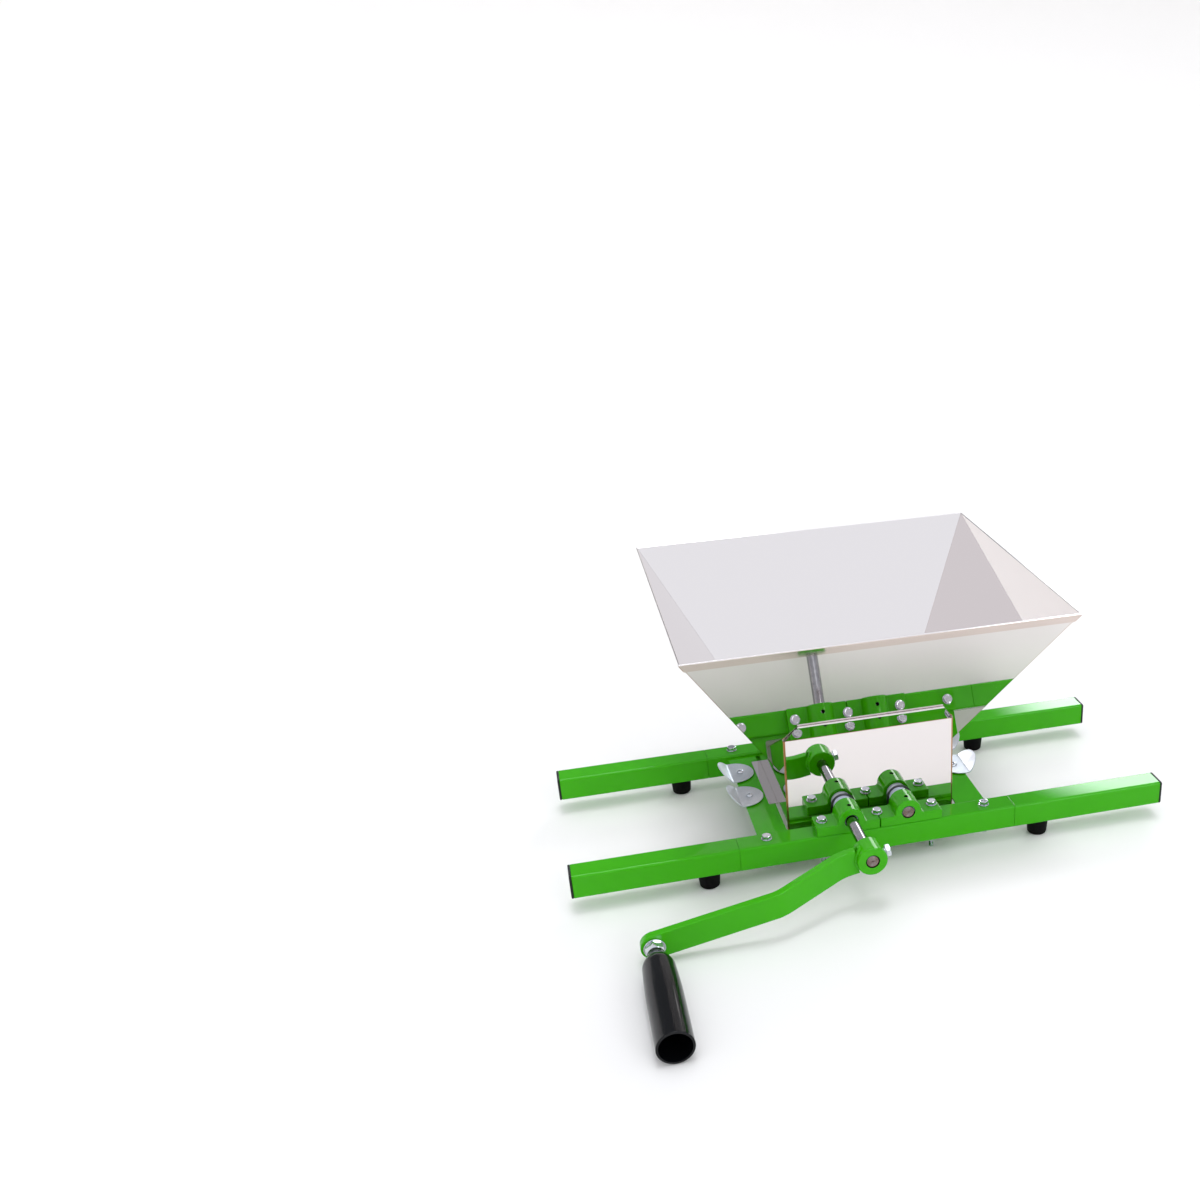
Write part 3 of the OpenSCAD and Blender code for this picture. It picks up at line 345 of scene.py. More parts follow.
low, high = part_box("end_caps")
front_low, front_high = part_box("front_tube")
rear_low, rear_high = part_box("rear_tube")
tube_middle_z = (front_high.z + front_low.z) / 2
front_y = (front_low.y + front_high.y) / 2
rear_y = (rear_low.y + rear_high.y) / 2
lid = soft_plate(rounded(square(tube_side, tube_side), tube_corner), 0, cap_lid, cap_edge)
plug = tube(-cap_plug_length, 0, (0, 0), insert_side, insert_corner, cap_plug_wall)
caps = []
for end_x in (-1, 1):
    for y in (front_y, rear_y):
        at = (end_x * (high.x - cap_lid), y, tube_middle_z)
        caps.append(put(lid, at, (0, 1, 0), (0, 0, 1), (end_x, 0, 0)))
        caps.append(put(plug, at, (end_x, 0, 0)))
build("end_caps_finish", caps, cap_black, "frame")


# The feet: turned black rubber buffers with a rounded lower edge, each held by a pan head screw
# that is sunk in a recess from below.
foot_recess = 6 * mm
foot_recess_depth = 9 * mm
foot_bore = 2.55 * mm
foot_round = 3 * mm
foot_taper = 1.5 * mm
foot_top_edge = 0.6 * mm
# Rubber: almost black and dull, with a faint greyish bloom in blotches
bloom_width = 3 * mm
rubber, tree, skin = start_material("black_rubber")
where = add(tree, "ShaderNodeTexCoord").outputs["Object"]
bloom = add(tree, "ShaderNodeTexNoise", {"Vector": where, "Scale": 1 / bloom_width, "Detail": 4.0})
grey = add(tree, "ShaderNodeMix", {0: bloom.outputs["Fac"], 6: linear("#040404"), 7: linear("#0B0A0A")},
           data_type="RGBA")
bumps = add(tree, "ShaderNodeBump", {"Height": bloom.outputs["Fac"], "Strength": 0.2, "Distance": 0.1 * mm})
feed(tree, skin, {
    "Base Color": grey.outputs[2], "Roughness": 0.6, "Normal": bumps.outputs["Normal"], "Specular IOR Level": 0.08,
})


def turned(profile, ring=False, around=64):
    """A profile of radii and heights turned round the Z axis, one row for each of its points"""
    radius, height = np.array(profile, float).T[:, :, None]
    angle = np.linspace(0, 2 * math.pi, around, endpoint=False)[None]
    return np.stack([radius * np.cos(angle), radius * np.sin(angle), height + 0 * angle], 2), ring


def arc(middle_r, middle_h, radius, start, end, steps=5):
    """Points of a profile's arc, its angles in degrees from the radius direction"""
    angle = np.radians(np.linspace(start, end, steps + 1))
    return np.stack([middle_r + radius * np.cos(angle), middle_h + radius * np.sin(angle)], 1).tolist()


low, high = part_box("rubber_feet")
foot_r = high.y - rear_y
foot_x = high.x - foot_r
foot_low_r = foot_r - foot_taper
foot_profile = (
    [(foot_recess, 0)]
    + arc(foot_low_r - foot_round, foot_round, foot_round, -90, 0)
    + [(foot_r, high.z - foot_top_edge), (foot_r - foot_top_edge, high.z), (foot_bore, high.z)]
    + [(foot_bore, foot_recess_depth), (foot_recess, foot_recess_depth)]
)
feet_places = [(x * foot_x, y, 0) for x in (-1, 1) for y in (front_y, rear_y)]
build("rubber_feet_finish", [put(turned(foot_profile, ring=True), at) for at in feet_places],
      rubber, "frame")


# The cross plate: 3 mm sheet steel with a square opening for the hopper's duct, laser cut,
# welded between the rails just below their tops and coated with them.
plate_corner = 1 * mm
opening_corner = 3 * mm
opening_side = 5 * mm
opening_rear = 1.5 * mm
duct_wall = 1.2 * mm
opening_play = 2.5 * mm
low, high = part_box("cross_plate")
plate_top = high.z
guard_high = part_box("gear_guard")[1]
opening_half = guard_high.x + opening_play
opening_y = (low.y + opening_side, high.y - opening_rear)
plate_outline = rounded(square(high.x - low.x, high.y - low.y), plate_corner)
hole_outline = rounded(square(2 * opening_half, opening_y[1] - opening_y[0]), opening_corner)
rim_steps = [(low.z, cut_edge), (low.z + cut_edge, 0), (high.z - cut_edge, 0), (high.z, cut_edge)]
hole_steps = [(z, -drawn) for z, drawn in rim_steps[::-1]]
rim_rows = put(layers(plate_outline, rim_steps), ((low.x + high.x) / 2, (low.y + high.y) / 2, 0))[0]
hole_rows = put(layers(hole_outline, hole_steps), (0, sum(opening_y) / 2, 0))[0]
build("cross_plate_finish", [(np.concatenate([rim_rows, hole_rows]), True)], green_coat, "frame")


# The bearing blocks: sand cast iron, milled flat below, with a round boss over the shaft and a
# foot on each side of it. They are coated green after drilling the oil hole in the boss.
cast_edge = 1.1 * mm
cast_fillet = 3 * mm
foot_corner = 1.6 * mm
seam_corner = 0.9 * mm
lip = 3 * mm
lip_hole = 8 * mm
bush_hole = 12.05 * mm
hole_chamfer = 0.5 * mm
foot_height = 12 * mm
boss_r = 16 * mm
oil_hole = 2.5 * mm
oil_hole_in = 11 * mm
ream_skin = 0.1 * mm
shaft_low, shaft_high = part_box("driven_shaft")
shaft_r = (shaft_high.x - shaft_low.x) / 2
shaft_x = (shaft_high.x + shaft_low.x) / 2
axis_z = (shaft_high.z + shaft_low.z) / 2


def laid(shell, x, y, back=1):
    """A turned shell laid down at the shafts' height, its own height pointing to the back, or to
    the front where back is -1"""
    return put(shell, (x, y, axis_z), (1, 0, 0), (0, 0, -1), (0, back, 0))


def block_shell(inner, outer):
    """A block with its shaft at the origin and its front at y 0. Its outline runs round the foot,
    up a fillet and over the boss. Rows of it and of the bore's circles make a closed ring, with
    each point of the outline facing a point of the bore"""
    bottom = front_high.z - axis_z
    top = bottom + foot_height
    fillet_x = math.sqrt((boss_r + cast_fillet) ** 2 - (top + cast_fillet) ** 2)
    root = math.degrees(math.atan2(top + cast_fillet, fillet_x))
    pieces = []
    for (x, z), radius, start, end, bore in (
        ((-inner, bottom), seam_corner, 180, 270, (220, 225)),
        ((outer, bottom), cast_edge, 270, 360, (315, 322)),
        ((outer, top), foot_corner, 0, 90, (328, 331)),
    ):
        sign_x, sign_z = (1 if x < 0 else -1), (1 if z == bottom else -1)
        middle = (x + sign_x * radius, z + sign_z * radius)
        pieces.append((middle, radius, start, end, bore, 1))
    pieces.append(((fillet_x, top + cast_fillet), cast_fillet, 270, 180 + root, (333, 345), -1))
    pieces.append(((0, 0), boss_r, root, 180 - root, (360 + root, 540 - root), 1))
    pieces.append(((-fillet_x, top + cast_fillet), cast_fillet, 360 - root, 270, (555, 567), -1))
    pieces.append(((-inner + seam_corner, top - seam_corner), seam_corner, 90, 180, (569, 572), 1))
    outline, outward, bore_angle = [], [], []
    for (x, z), radius, start, end, bore, sign in pieces:
        count = 33 if radius == boss_r else 7
        angle = np.radians(np.linspace(start, end, count))
        facing = np.stack([np.cos(angle), np.sin(angle)], 1)
        outline.append(np.array((x, z)) + radius * facing)
        outward.append(sign * facing)
        bore_angle.append(np.radians(np.linspace(*bore, count)))
    outline, outward, bore_angle = (np.concatenate(part) for part in (outline, outward, bore_angle))
    circle = np.stack([np.cos(bore_angle), np.sin(bore_angle)], 1)
    rounding = np.linspace(0, math.pi / 2, 4)
    rise, drawn = cast_edge * (1 - np.cos(rounding)), cast_edge * (1 - np.sin(rounding))
    bore_rows = [(lip_hole, lip), (lip_hole, hole_chamfer), (lip_hole + hole_chamfer, 0)]
    skin_rows = list(zip(rise, drawn)) + list(zip(tube_side - rise[::-1], drawn[::-1]))
    rear_rows = [(bush_hole + hole_chamfer, tube_side), (bush_hole, tube_side - hole_chamfer), (bush_hole, lip)]
    rows = [(circle * r, y) for r, y in bore_rows]
    rows += [(outline - outward * inset, y) for y, inset in skin_rows]
    rows += [(circle * r, y) for r, y in rear_rows]
    grid = np.stack([np.stack([flat[:, 0], np.full(len(flat), y), flat[:, 1]], 1) for flat, y in rows])
    return grid, True


# The drilled and reamed holes are bare metal with a film of oil. Their near-black colour is painted shade, the dark
# that falls inside the holes and in the gaps round the shafts
film_width = 0.8 * mm
oily_hole_shade, tree, skin = start_material("oily_hole_painted_shade")
where = add(tree, "ShaderNodeTexCoord").outputs["Object"]
film = add(tree, "ShaderNodeTexNoise", {"Vector": where, "Scale": 1 / film_width, "Detail": 2.0})
grey = add(tree, "ShaderNodeMix", {0: film.outputs["Fac"], 6: linear("#040504"), 7: linear("#0E0D0A")},
           data_type="RGBA")
feed(tree, skin, {"Base Color": grey.outputs[2], "Roughness": 0.45, "Specular IOR Level": 0.2})


def cut(made, *shells, inside=None):
    """Takes shells out of a piece: an exact boolean difference, which is then applied. The faces
    of the cut get the inside material"""
    cutter = build("cutter", shells, inside or made.data.materials[0], None)
    boolean = made.modifiers.new("cut", "BOOLEAN")
    boolean.operation = "DIFFERENCE"
    boolean.solver = "EXACT"
    boolean.material_mode = "TRANSFER"
    boolean.object = cutter
    made.modifiers.move(len(made.modifiers) - 1, 0)
    ready = made.evaluated_get(bpy.context.evaluated_depsgraph_get())
    cut_mesh = bpy.data.meshes.new_from_object(ready)
    made.modifiers.clear()
    made.data = cut_mesh
    cut_mesh.set_sharp_from_angle(angle=math.radians(soft_angle))
    made.modifiers.new("flat_faces_stay_flat", "WEIGHTED_NORMAL").keep_sharp = True
    bpy.data.objects.remove(cutter)
    return made


for block in ("block_front_drive", "block_front_driven", "block_rear_drive", "block_rear_driven"):
    low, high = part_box(block)
    side = 1 if "driven" in block else -1
    back = 1 if "front" in block else -1
    inner = shaft_x - min(abs(low.x), abs(high.x))
    outer = max(abs(low.x), abs(high.x)) - shaft_x
    at = (side * shaft_x, low.y if back > 0 else high.y, axis_z)
    made = build(block + "_finish", [put(block_shell(inner, outer), at, (side, 0, 0), (0, back, 0))],
                 green_coat, "frame")
    # The oil hole and the reamed lip are lined with the near-black hole material: painted shade
    drill = turned([(oil_hole, shaft_r), (oil_hole, 2 * boss_r)], around=32)
    ream = turned([(lip_hole + ream_skin, -1 * mm), (lip_hole + ream_skin, lip - ream_skin)])
    cut(made, put(drill, (at[0], at[1] + back * oil_hole_in, axis_z)), laid(ream, at[0], at[1], back), inside=oily_hole_shade)


# The bushes: turned white nylon, pressed into the blocks from behind. The front pair stands
# 11 mm out of its blocks and passes through the notches of the guard.
bush_chamfer = 0.6 * mm
bush_out = 11 * mm
bush_rear_gap = 1.5 * mm
bush_play = 0.1 * mm
# Natural nylon: milky and bluish, half dull, with the rings of the lathe. They are drawn coarser
# than real ones, so that they show
ring_pitch = 0.35 * mm
ring_long = 25 * mm
nylon, tree, skin = start_material("natural_nylon")
where = add(tree, "ShaderNodeTexCoord").outputs["Object"]
rings = add(tree, "ShaderNodeMapping", {"Vector": where, "Scale": (1 / ring_long, 1 / ring_pitch, 1 / ring_long)})
turning = add(tree, "ShaderNodeTexNoise", {"Vector": rings.outputs[0], "Scale": 1.0, "Detail": 2.0})
bumps = add(tree, "ShaderNodeBump", {"Height": turning.outputs["Fac"], "Strength": 0.2, "Distance": 0.04 * mm})
feed(tree, skin, {
    "Base Color": linear("#D5DDEE"), "Roughness": 0.38, "Normal": bumps.outputs["Normal"],
    "Subsurface Weight": 0.2, "Subsurface Radius": (2 * mm, 2 * mm, 2.4 * mm), "Subsurface Scale": 1.0,
})


def hollow(inside, outside, low, high, chamfer):
    """A turned ring with all four edges broken by a chamfer"""
    profile = [
        (inside, low + chamfer), (inside + chamfer, low), (outside - chamfer, low), (outside, low + chamfer),
        (outside, high - chamfer), (outside - chamfer, high), (inside + chamfer, high), (inside, high - chamfer),
    ]
    return turned(profile, ring=True)


low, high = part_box("bearing_bushes")
bush_r = high.z - axis_z
block_front_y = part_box("block_front_drive")[0].y
rear_block_low, rear_block_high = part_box("block_rear_drive")
guard_face = front_high.y + bush_out
bush_spans = [(low.y, guard_face + duct_wall), (rear_block_low.y - bush_rear_gap, high.y)]
bushes = [
    laid(hollow(shaft_r + bush_play, bush_r, near, far, bush_chamfer), x, 0)
    for x in (-shaft_x, shaft_x) for near, far in bush_spans
]
made = build("bearing_bushes_finish", bushes, nylon, "frame")
drills = [
    put(turned([(oil_hole, shaft_r), (oil_hole, bush_r + 1 * mm)], around=32), (x, y, axis_z))
    for x in (-shaft_x, shaft_x) for y in (block_front_y + oil_hole_in, rear_block_high.y - oil_hole_in)
]
# The bushes' oil holes are lined with the near-black hole material: painted shade
cut(made, *drills, inside=oily_hole_shade)


# Bolts, nuts and washers: cold formed M6 steel, bright zinc plated. A head is a hexagon whose
# corners are cut by a 30 degree cone, so that each flat ends in a curve.
bolt_r = 3 * mm
flats = 9.96 * mm
head_height = 4.02 * mm
nut_height = 4.98 * mm
washer_r = 6.5 * mm
washer_thick = 1.6 * mm
thread_pitch = 1 * mm
thread_depth = 0.5 * mm
nut_play = 0.05 * mm
washer_play = 0.25 * mm
washer_edge = 0.2 * mm
arm_bolt_in = 35 * mm
arm_bolt_thread = 9 * mm
block_bolt_thread = 20 * mm
# Shares of a head's width across flats, and of a screw's radius
face_share = 0.475
collar_share = 0.03
dish_r_share = 0.4
dish_share = 0.02
point_r_share = 0.6
point_share = 0.4
# Bright zinc: a bluish mirror with small dull crystals
crystal_width = 1.6 * mm
zinc, tree, skin = start_material("bright_zinc_plate")
where = add(tree, "ShaderNodeTexCoord").outputs["Object"]
spangle = add(tree, "ShaderNodeTexNoise", {"Vector": where, "Scale": 1 / crystal_width, "Detail": 4.0})
tint = add(tree, "ShaderNodeMix", {0: spangle.outputs["Fac"], 6: linear("#ADB3B9"), 7: linear("#E1E5E9")},
           data_type="RGBA")
dull = add(tree, "ShaderNodeMapRange",
           {"Value": spangle.outputs["Fac"], "From Min": 0.3, "From Max": 0.7, "To Min": 0.08, "To Max": 0.2})
bumps = add(tree, "ShaderNodeBump", {"Height": spangle.outputs["Fac"], "Strength": 0.15, "Distance": 0.06 * mm})
feed(tree, skin, {
    "Base Color": tint.outputs[2], "Roughness": dull.outputs["Result"], "Normal": bumps.outputs["Normal"],
    "Metallic": 1.0,
})


def hexagon(across, around=48):
    """The distance of a hexagon's edge from its middle, for each of the directions round it"""
    angle = np.linspace(0, 2 * math.pi, around, endpoint=False)
    return across / 2 / np.cos((angle + math.pi / 6) % (math.pi / 3) - math.pi / 6)


def hex_rows(rows, around=48):
    """Rows of (radius, height), where each may be one number or a number for each direction"""
    angle = np.linspace(0, 2 * math.pi, around, endpoint=False)
    grid = [np.stack([r * np.cos(angle), r * np.sin(angle), h + 0 * angle], 1) for r, h in rows]
    return np.stack(grid)


def hex_end(across, height, sign):
    """The face circle and the cone cut edge of a hexagon's end at a height"""
    edge = hexagon(across)
    circle = face_share * across
    return [(circle, height), (edge, height - sign * (edge - circle) * math.tan(math.pi / 6))]


def thread(radius, low, high, pitch, depth):
    """A row of V grooves from high down to low, drawn as rings because the helix is too fine to show"""
    count = max(1, round((high - low) / pitch))
    heights = np.linspace(high, low, 2 * count + 1)
    radii = np.where(np.arange(2 * count + 1) % 2 == 0, radius, radius - depth)
    return list(zip(radii, heights))


def bolt(radius, length, across, head, threaded):
    """A bolt that points down, with the underside of its head at the origin"""
    collar = collar_share * across
    rows = [(point_r_share * radius, -length)]
    rows += thread(radius, -length + point_share * radius, -length + threaded, thread_pitch, thread_depth)[::-1]
    rows += [(radius, 0), (face_share * across, 0), (face_share * across, collar), (hexagon(across), collar)]
    rows += hex_end(across, head, 1)[::-1]
    rows += [(dish_r_share * across, head - dish_share * across)]
    return hex_rows(rows), False


def nut(radius, across, height):
    """A hexagon cut by a cone at both ends, with its bore chamfered by a tenth of its radius"""
    chamfer = radius / 10
    rows = [(radius, chamfer), (radius + chamfer, 0)] + hex_end(across, 0, -1)
    rows += hex_end(across, height, 1)[::-1] + [(radius + chamfer, height), (radius, height - chamfer)]
    return hex_rows(rows), True


def varied(shells, seed):
    """The same shells, each turned by its own angle about its own upright axis"""
    angles = np.random.default_rng(seed).uniform(0, math.pi / 3, len(shells))
    made = []
    for (points, ring), angle in zip(shells, angles):
        middle = (points.reshape(-1, 3).min(0) + points.reshape(-1, 3).max(0)) / 2 * (1, 1, 0)
        turn = np.array([[math.cos(angle), math.sin(angle), 0], [-math.sin(angle), math.cos(angle), 0], [0, 0, 1]])
        made.append(((points - middle) @ turn + middle, ring))
    return made


arm_bolt_x = rail_end - arm_bolt_in
block_bolt_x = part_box("block_bolts")[1].x - flats / math.sqrt(3)
tube_top, tube_bottom = front_high.z, front_low.z
under = tube_bottom - washer_thick
for group, xs, seat, threaded in (
    ("arm", (-arm_bolt_x, arm_bolt_x), tube_top + washer_thick, arm_bolt_thread),
    ("block", (-block_bolt_x, 0, block_bolt_x), tube_top + foot_height + washer_thick, block_bolt_thread),
):
    places = [(x, y) for x in xs for y in (front_y, rear_y)]
    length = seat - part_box(group + "_bolts")[0].z
    shells = [put(bolt(bolt_r, length, flats, head_height, threaded), (x, y, seat)) for x, y in places]
    build(group + "_bolts_finish", varied(shells, 3), zinc, "frame", sharp=25)
    shells = [put(nut(bolt_r + nut_play, flats, nut_height), (x, y, under - nut_height)) for x, y in places]
    build(group + "_nuts_finish", varied(shells, 5), zinc, "frame", sharp=25)
    ring = hollow(bolt_r + washer_play, washer_r, 0, washer_thick, washer_edge)
    levels = (seat - washer_thick, under)
    build(group + "_washers_finish", [put(ring, (x, y, z)) for x, y in places for z in levels],
          zinc, "frame")


# The shafts, and the pins that hold rollers and gears on them: ground bright steel. The shafts'
# ends are sawn and faced, with a chamfer, the lathe's centre hole and the rings of its tool.
centre_hole_r = 0.9 * mm
centre_hole_depth = 1.2 * mm
centre_hole_floor_r = 0.3 * mm
shaft_chamfer = 0.4 * mm
facing_grooves = (2.2 * mm, 3.6 * mm, 5.1 * mm)
groove_half = 0.25 * mm
# Ground steel: a grey mirror with fine rings round the shaft, drawn coarser than real ones, so
# that they show. The faced ends have a brown, dull skin
grinding_pitch = 0.25 * mm
stain_width = 9 * mm
ground, tree, skin = start_material("ground_bright_steel")
where = add(tree, "ShaderNodeTexCoord").outputs["Object"]
stretched = add(tree, "ShaderNodeMapping", {"Vector": where, "Scale": (60, 1 / grinding_pitch, 60)})
lines = add(tree, "ShaderNodeTexNoise", {"Vector": stretched.outputs[0], "Scale": 1.0, "Detail": 3.0})
stain = add(tree, "ShaderNodeTexNoise", {"Vector": where, "Scale": 1 / stain_width, "Detail": 4.0})
tint = add(tree, "ShaderNodeMix", {0: stain.outputs["Fac"], 6: linear("#77787B"), 7: linear("#A9AAAD")},
           data_type="RGBA")
bumps = add(tree, "ShaderNodeBump", {"Height": lines.outputs["Fac"], "Strength": 0.25, "Distance": 0.02 * mm})
facing = add(tree, "ShaderNodeSeparateXYZ", {0: add(tree, "ShaderNodeTexCoord").outputs["Normal"]}).outputs["Y"]
square_on = add(tree, "ShaderNodeMath", {0: facing}, operation="ABSOLUTE")
sawn = add(tree, "ShaderNodeMapRange", {"Value": square_on.outputs[0], "From Min": 0.85, "From Max": 0.95})
rust = add(tree, "ShaderNodeMix", {0: sawn.outputs["Result"], 6: tint.outputs[2], 7: linear("#806A62")},
           data_type="RGBA")
fine = add(tree, "ShaderNodeMapRange", {"Value": lines.outputs["Fac"], "To Min": 0.05, "To Max": 0.14})
dull = add(tree, "ShaderNodeMapRange",
           {"Value": sawn.outputs["Result"], "To Min": fine.outputs["Result"], "To Max": 0.4})
feed(tree, skin, {
    "Base Color": rust.outputs[2], "Roughness": dull.outputs["Result"], "Normal": bumps.outputs["Normal"],
    "Metallic": 1.0,
})


def give(nodes, look):
    """Gives a material to CAD solids that stay as they are"""
    for node in nodes:
        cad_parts[node].data.materials.clear()
        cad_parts[node].data.materials.append(look)


end = [(centre_hole_floor_r, centre_hole_depth), (centre_hole_r, 0)]
for groove in facing_grooves:
    end += [(groove - groove_half, 0), (groove, groove_half), (groove + groove_half, 0)]
end += [(shaft_r - shaft_chamfer, 0), (shaft_r, shaft_chamfer)]
for shaft, body in (("drive_shaft", "crank_and_drive_roller"), ("driven_shaft", "driven_roller_set")):
    low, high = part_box(shaft)
    other = [(r, high.y - low.y - h) for r, h in end[::-1]]
    build(shaft + "_finish", [laid(turned(end + other), (low.x + high.x) / 2, low.y)], ground, body)
give(("drive_pins", "driven_pins"), ground)


# The gears: milled from round steel bar. They sit behind the guard and show only from below.
# Grease leaves the steel dark grey and dull in blotches, and bright where the teeth rub.
grease_width = 7 * mm
milled, tree, skin = start_material("milled_greased_steel")
where = add(tree, "ShaderNodeTexCoord").outputs["Object"]
grease = add(tree, "ShaderNodeTexNoise", {"Vector": where, "Scale": 1 / grease_width, "Detail": 4.0})
tint = add(tree, "ShaderNodeMix", {0: grease.outputs["Fac"], 6: linear("#4D4B48"), 7: linear("#8C8B89")},
           data_type="RGBA")
dull = add(tree, "ShaderNodeMapRange", {"Value": grease.outputs["Fac"], "To Min": 0.2, "To Max": 0.5})
feed(tree, skin, {"Base Color": tint.outputs[2], "Roughness": dull.outputs["Result"], "Metallic": 1.0})
give(("drive_gear", "driven_gear"), milled)


# The rollers: cast aluminium, each with eight toothed rings that run in the gaps of the other.
# The teeth are hooked, with soft cast edges and a slightly sandy skin.
ring_count = 8
ring_teeth = 8
ring_gap = 0.5 * mm
tip_r = 42 * mm
tooth_depth = 12 * mm
core_r = 26 * mm
tip_share = 0.52
land_share = 0.08
heel_share = 0.74
tooth_edge = 0.9 * mm
tip_round = 0.9 * mm
root_round = 1.2 * mm
# Cast aluminium: dull silver with the sand mould's fine pits
sand_grain = 0.9 * mm
cast_patch = 14 * mm
cast, tree, skin = start_material("cast_aluminium")
where = add(tree, "ShaderNodeTexCoord").outputs["Object"]
sand = add(tree, "ShaderNodeTexNoise", {"Vector": where, "Scale": 1 / sand_grain, "Detail": 4.0})
patch = add(tree, "ShaderNodeTexNoise", {"Vector": where, "Scale": 1 / cast_patch, "Detail": 3.0})
tint = add(tree, "ShaderNodeMix", {0: patch.outputs["Fac"], 6: linear("#A3A5A7"), 7: linear("#CBCDCF")},
           data_type="RGBA")
bumps = add(tree, "ShaderNodeBump", {"Height": sand.outputs["Fac"], "Strength": 0.5, "Distance": 0.12 * mm})
dull = add(tree, "ShaderNodeMapRange", {"Value": patch.outputs["Fac"], "To Min": 0.34, "To Max": 0.5})
feed(tree, skin, {
    "Base Color": tint.outputs[2], "Roughness": dull.outputs["Result"], "Normal": bumps.outputs["Normal"],
    "Metallic": 1.0,
})

# A tooth's corners: root, tip, the land's end, and the heel back at the root
tooth = np.arange(ring_teeth)[:, None]
angle = 2 * math.pi / ring_teeth * (tooth + np.array([0, tip_share, tip_share + land_share, heel_share]))
radius = np.array([tip_r - tooth_depth, tip_r, tip_r, tip_r - tooth_depth])
corners = np.stack([radius * np.cos(angle), radius * np.sin(angle)], 2).reshape(-1, 2)
outline = rounded(corners, np.tile([root_round, tip_round, tip_round, root_round], ring_teeth), steps=3)
for roller, body, shift, mirror in (("drive_roller", "crank_and_drive_roller", 0, 1),
                                    ("driven_roller", "driven_roller_set", 0.5, -1)):
    low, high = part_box(roller)
    x = (low.x + high.x) / 2
    length = high.y - low.y
    pitch = length / ring_count
    plate = soft_plate(outline, 0, pitch / 2 - 2 * ring_gap, tooth_edge)
    plate = put(plate, (0, 0, 0), (1, 0, 0), (0, mirror, 0))
    core_end = [(core_r - tooth_edge, 0), (core_r, tooth_edge)]
    core = core_end + [(r, length - h) for r, h in core_end[::-1]]
    shells = [laid(turned(core), x, low.y)]
    for ring in range(ring_count):
        start = low.y + (ring + shift) * pitch + ring_gap
        turn = ring * math.pi / ring_teeth
        spin_x = (math.cos(turn), 0, -math.sin(turn))
        spin_y = (-math.sin(turn), 0, -math.cos(turn))
        shells.append(put(plate, (x, start, axis_z), spin_x, spin_y, (0, 1, 0)))
    build(roller + "_finish", shells, cast, body)


# The hopper: four panels of polished stainless sheet, bent at the duct, folded over at the rim
# and welded along their mitres. The two side panels carry a flange that rests on the plate.
sheet = 1.1 * mm
hem_gap = 0.1 * mm
hem_width = 11 * mm
hem_round_share = 0.98
bend_steps = 8
duct_bend = 2.2 * mm
duct_top = 103 * mm
duct_front_gap = 36 * mm
duct_rear_gap = 3 * mm
mitre_gap = 0.12 * mm
mitre_mark = 1 * mm
# The share of the brown painted reflection that the hem's outside gets
hem_reflection_share = 0.3
notch_r = 9 * mm
notch_depth = 60 * mm
notch_reach = 5 * mm
flange_wide = 11 * mm
flange_half = 58 * mm
flange_shift = 3 * mm
flange_corner = 0.5 * mm
flange_edge = 0.2 * mm
# Polished stainless: a warm mirror with long waves and a faint haze. Bends, the hem and the welded mitres are less
# glossy where the piece's fold attribute marks them, and painted brown there: on the bends and the hem the brown is a
# painted reflection of a dark warm room and of the shade below the hopper, at the mitres it is also weld tint
wave_width = 110 * mm
wave_height = 1.0 * mm
haze_width = 25 * mm
polished, tree, skin = start_material("polished_stainless_sheet")
where = add(tree, "ShaderNodeTexCoord").outputs["Object"]
wave = add(tree, "ShaderNodeTexNoise", {"Vector": where, "Scale": 1 / wave_width, "Detail": 1.0})
haze = add(tree, "ShaderNodeTexNoise", {"Vector": where, "Scale": 1 / haze_width, "Detail": 5.0})
bumps = add(tree, "ShaderNodeBump", {"Height": wave.outputs["Fac"], "Strength": 0.08, "Distance": wave_height})
dull = add(tree, "ShaderNodeMapRange",
           {"Value": haze.outputs["Fac"], "From Min": 0.35, "From Max": 0.75, "To Min": 0.012, "To Max": 0.04})
fold = add(tree, "ShaderNodeAttribute", attribute_name="fold").outputs["Fac"]
tint = add(tree, "ShaderNodeMix", {0: fold, 6: linear("#E6E0DF"), 7: linear("#B47F58")}, data_type="RGBA")
rough = add(tree, "ShaderNodeMath", {0: fold, 1: 0.16, 2: dull.outputs["Result"]}, operation="MULTIPLY_ADD")
feed(tree, skin, {
    "Base Color": tint.outputs[2], "Roughness": rough.outputs[0], "Normal": bumps.outputs["Normal"], "Metallic": 1.0,
})


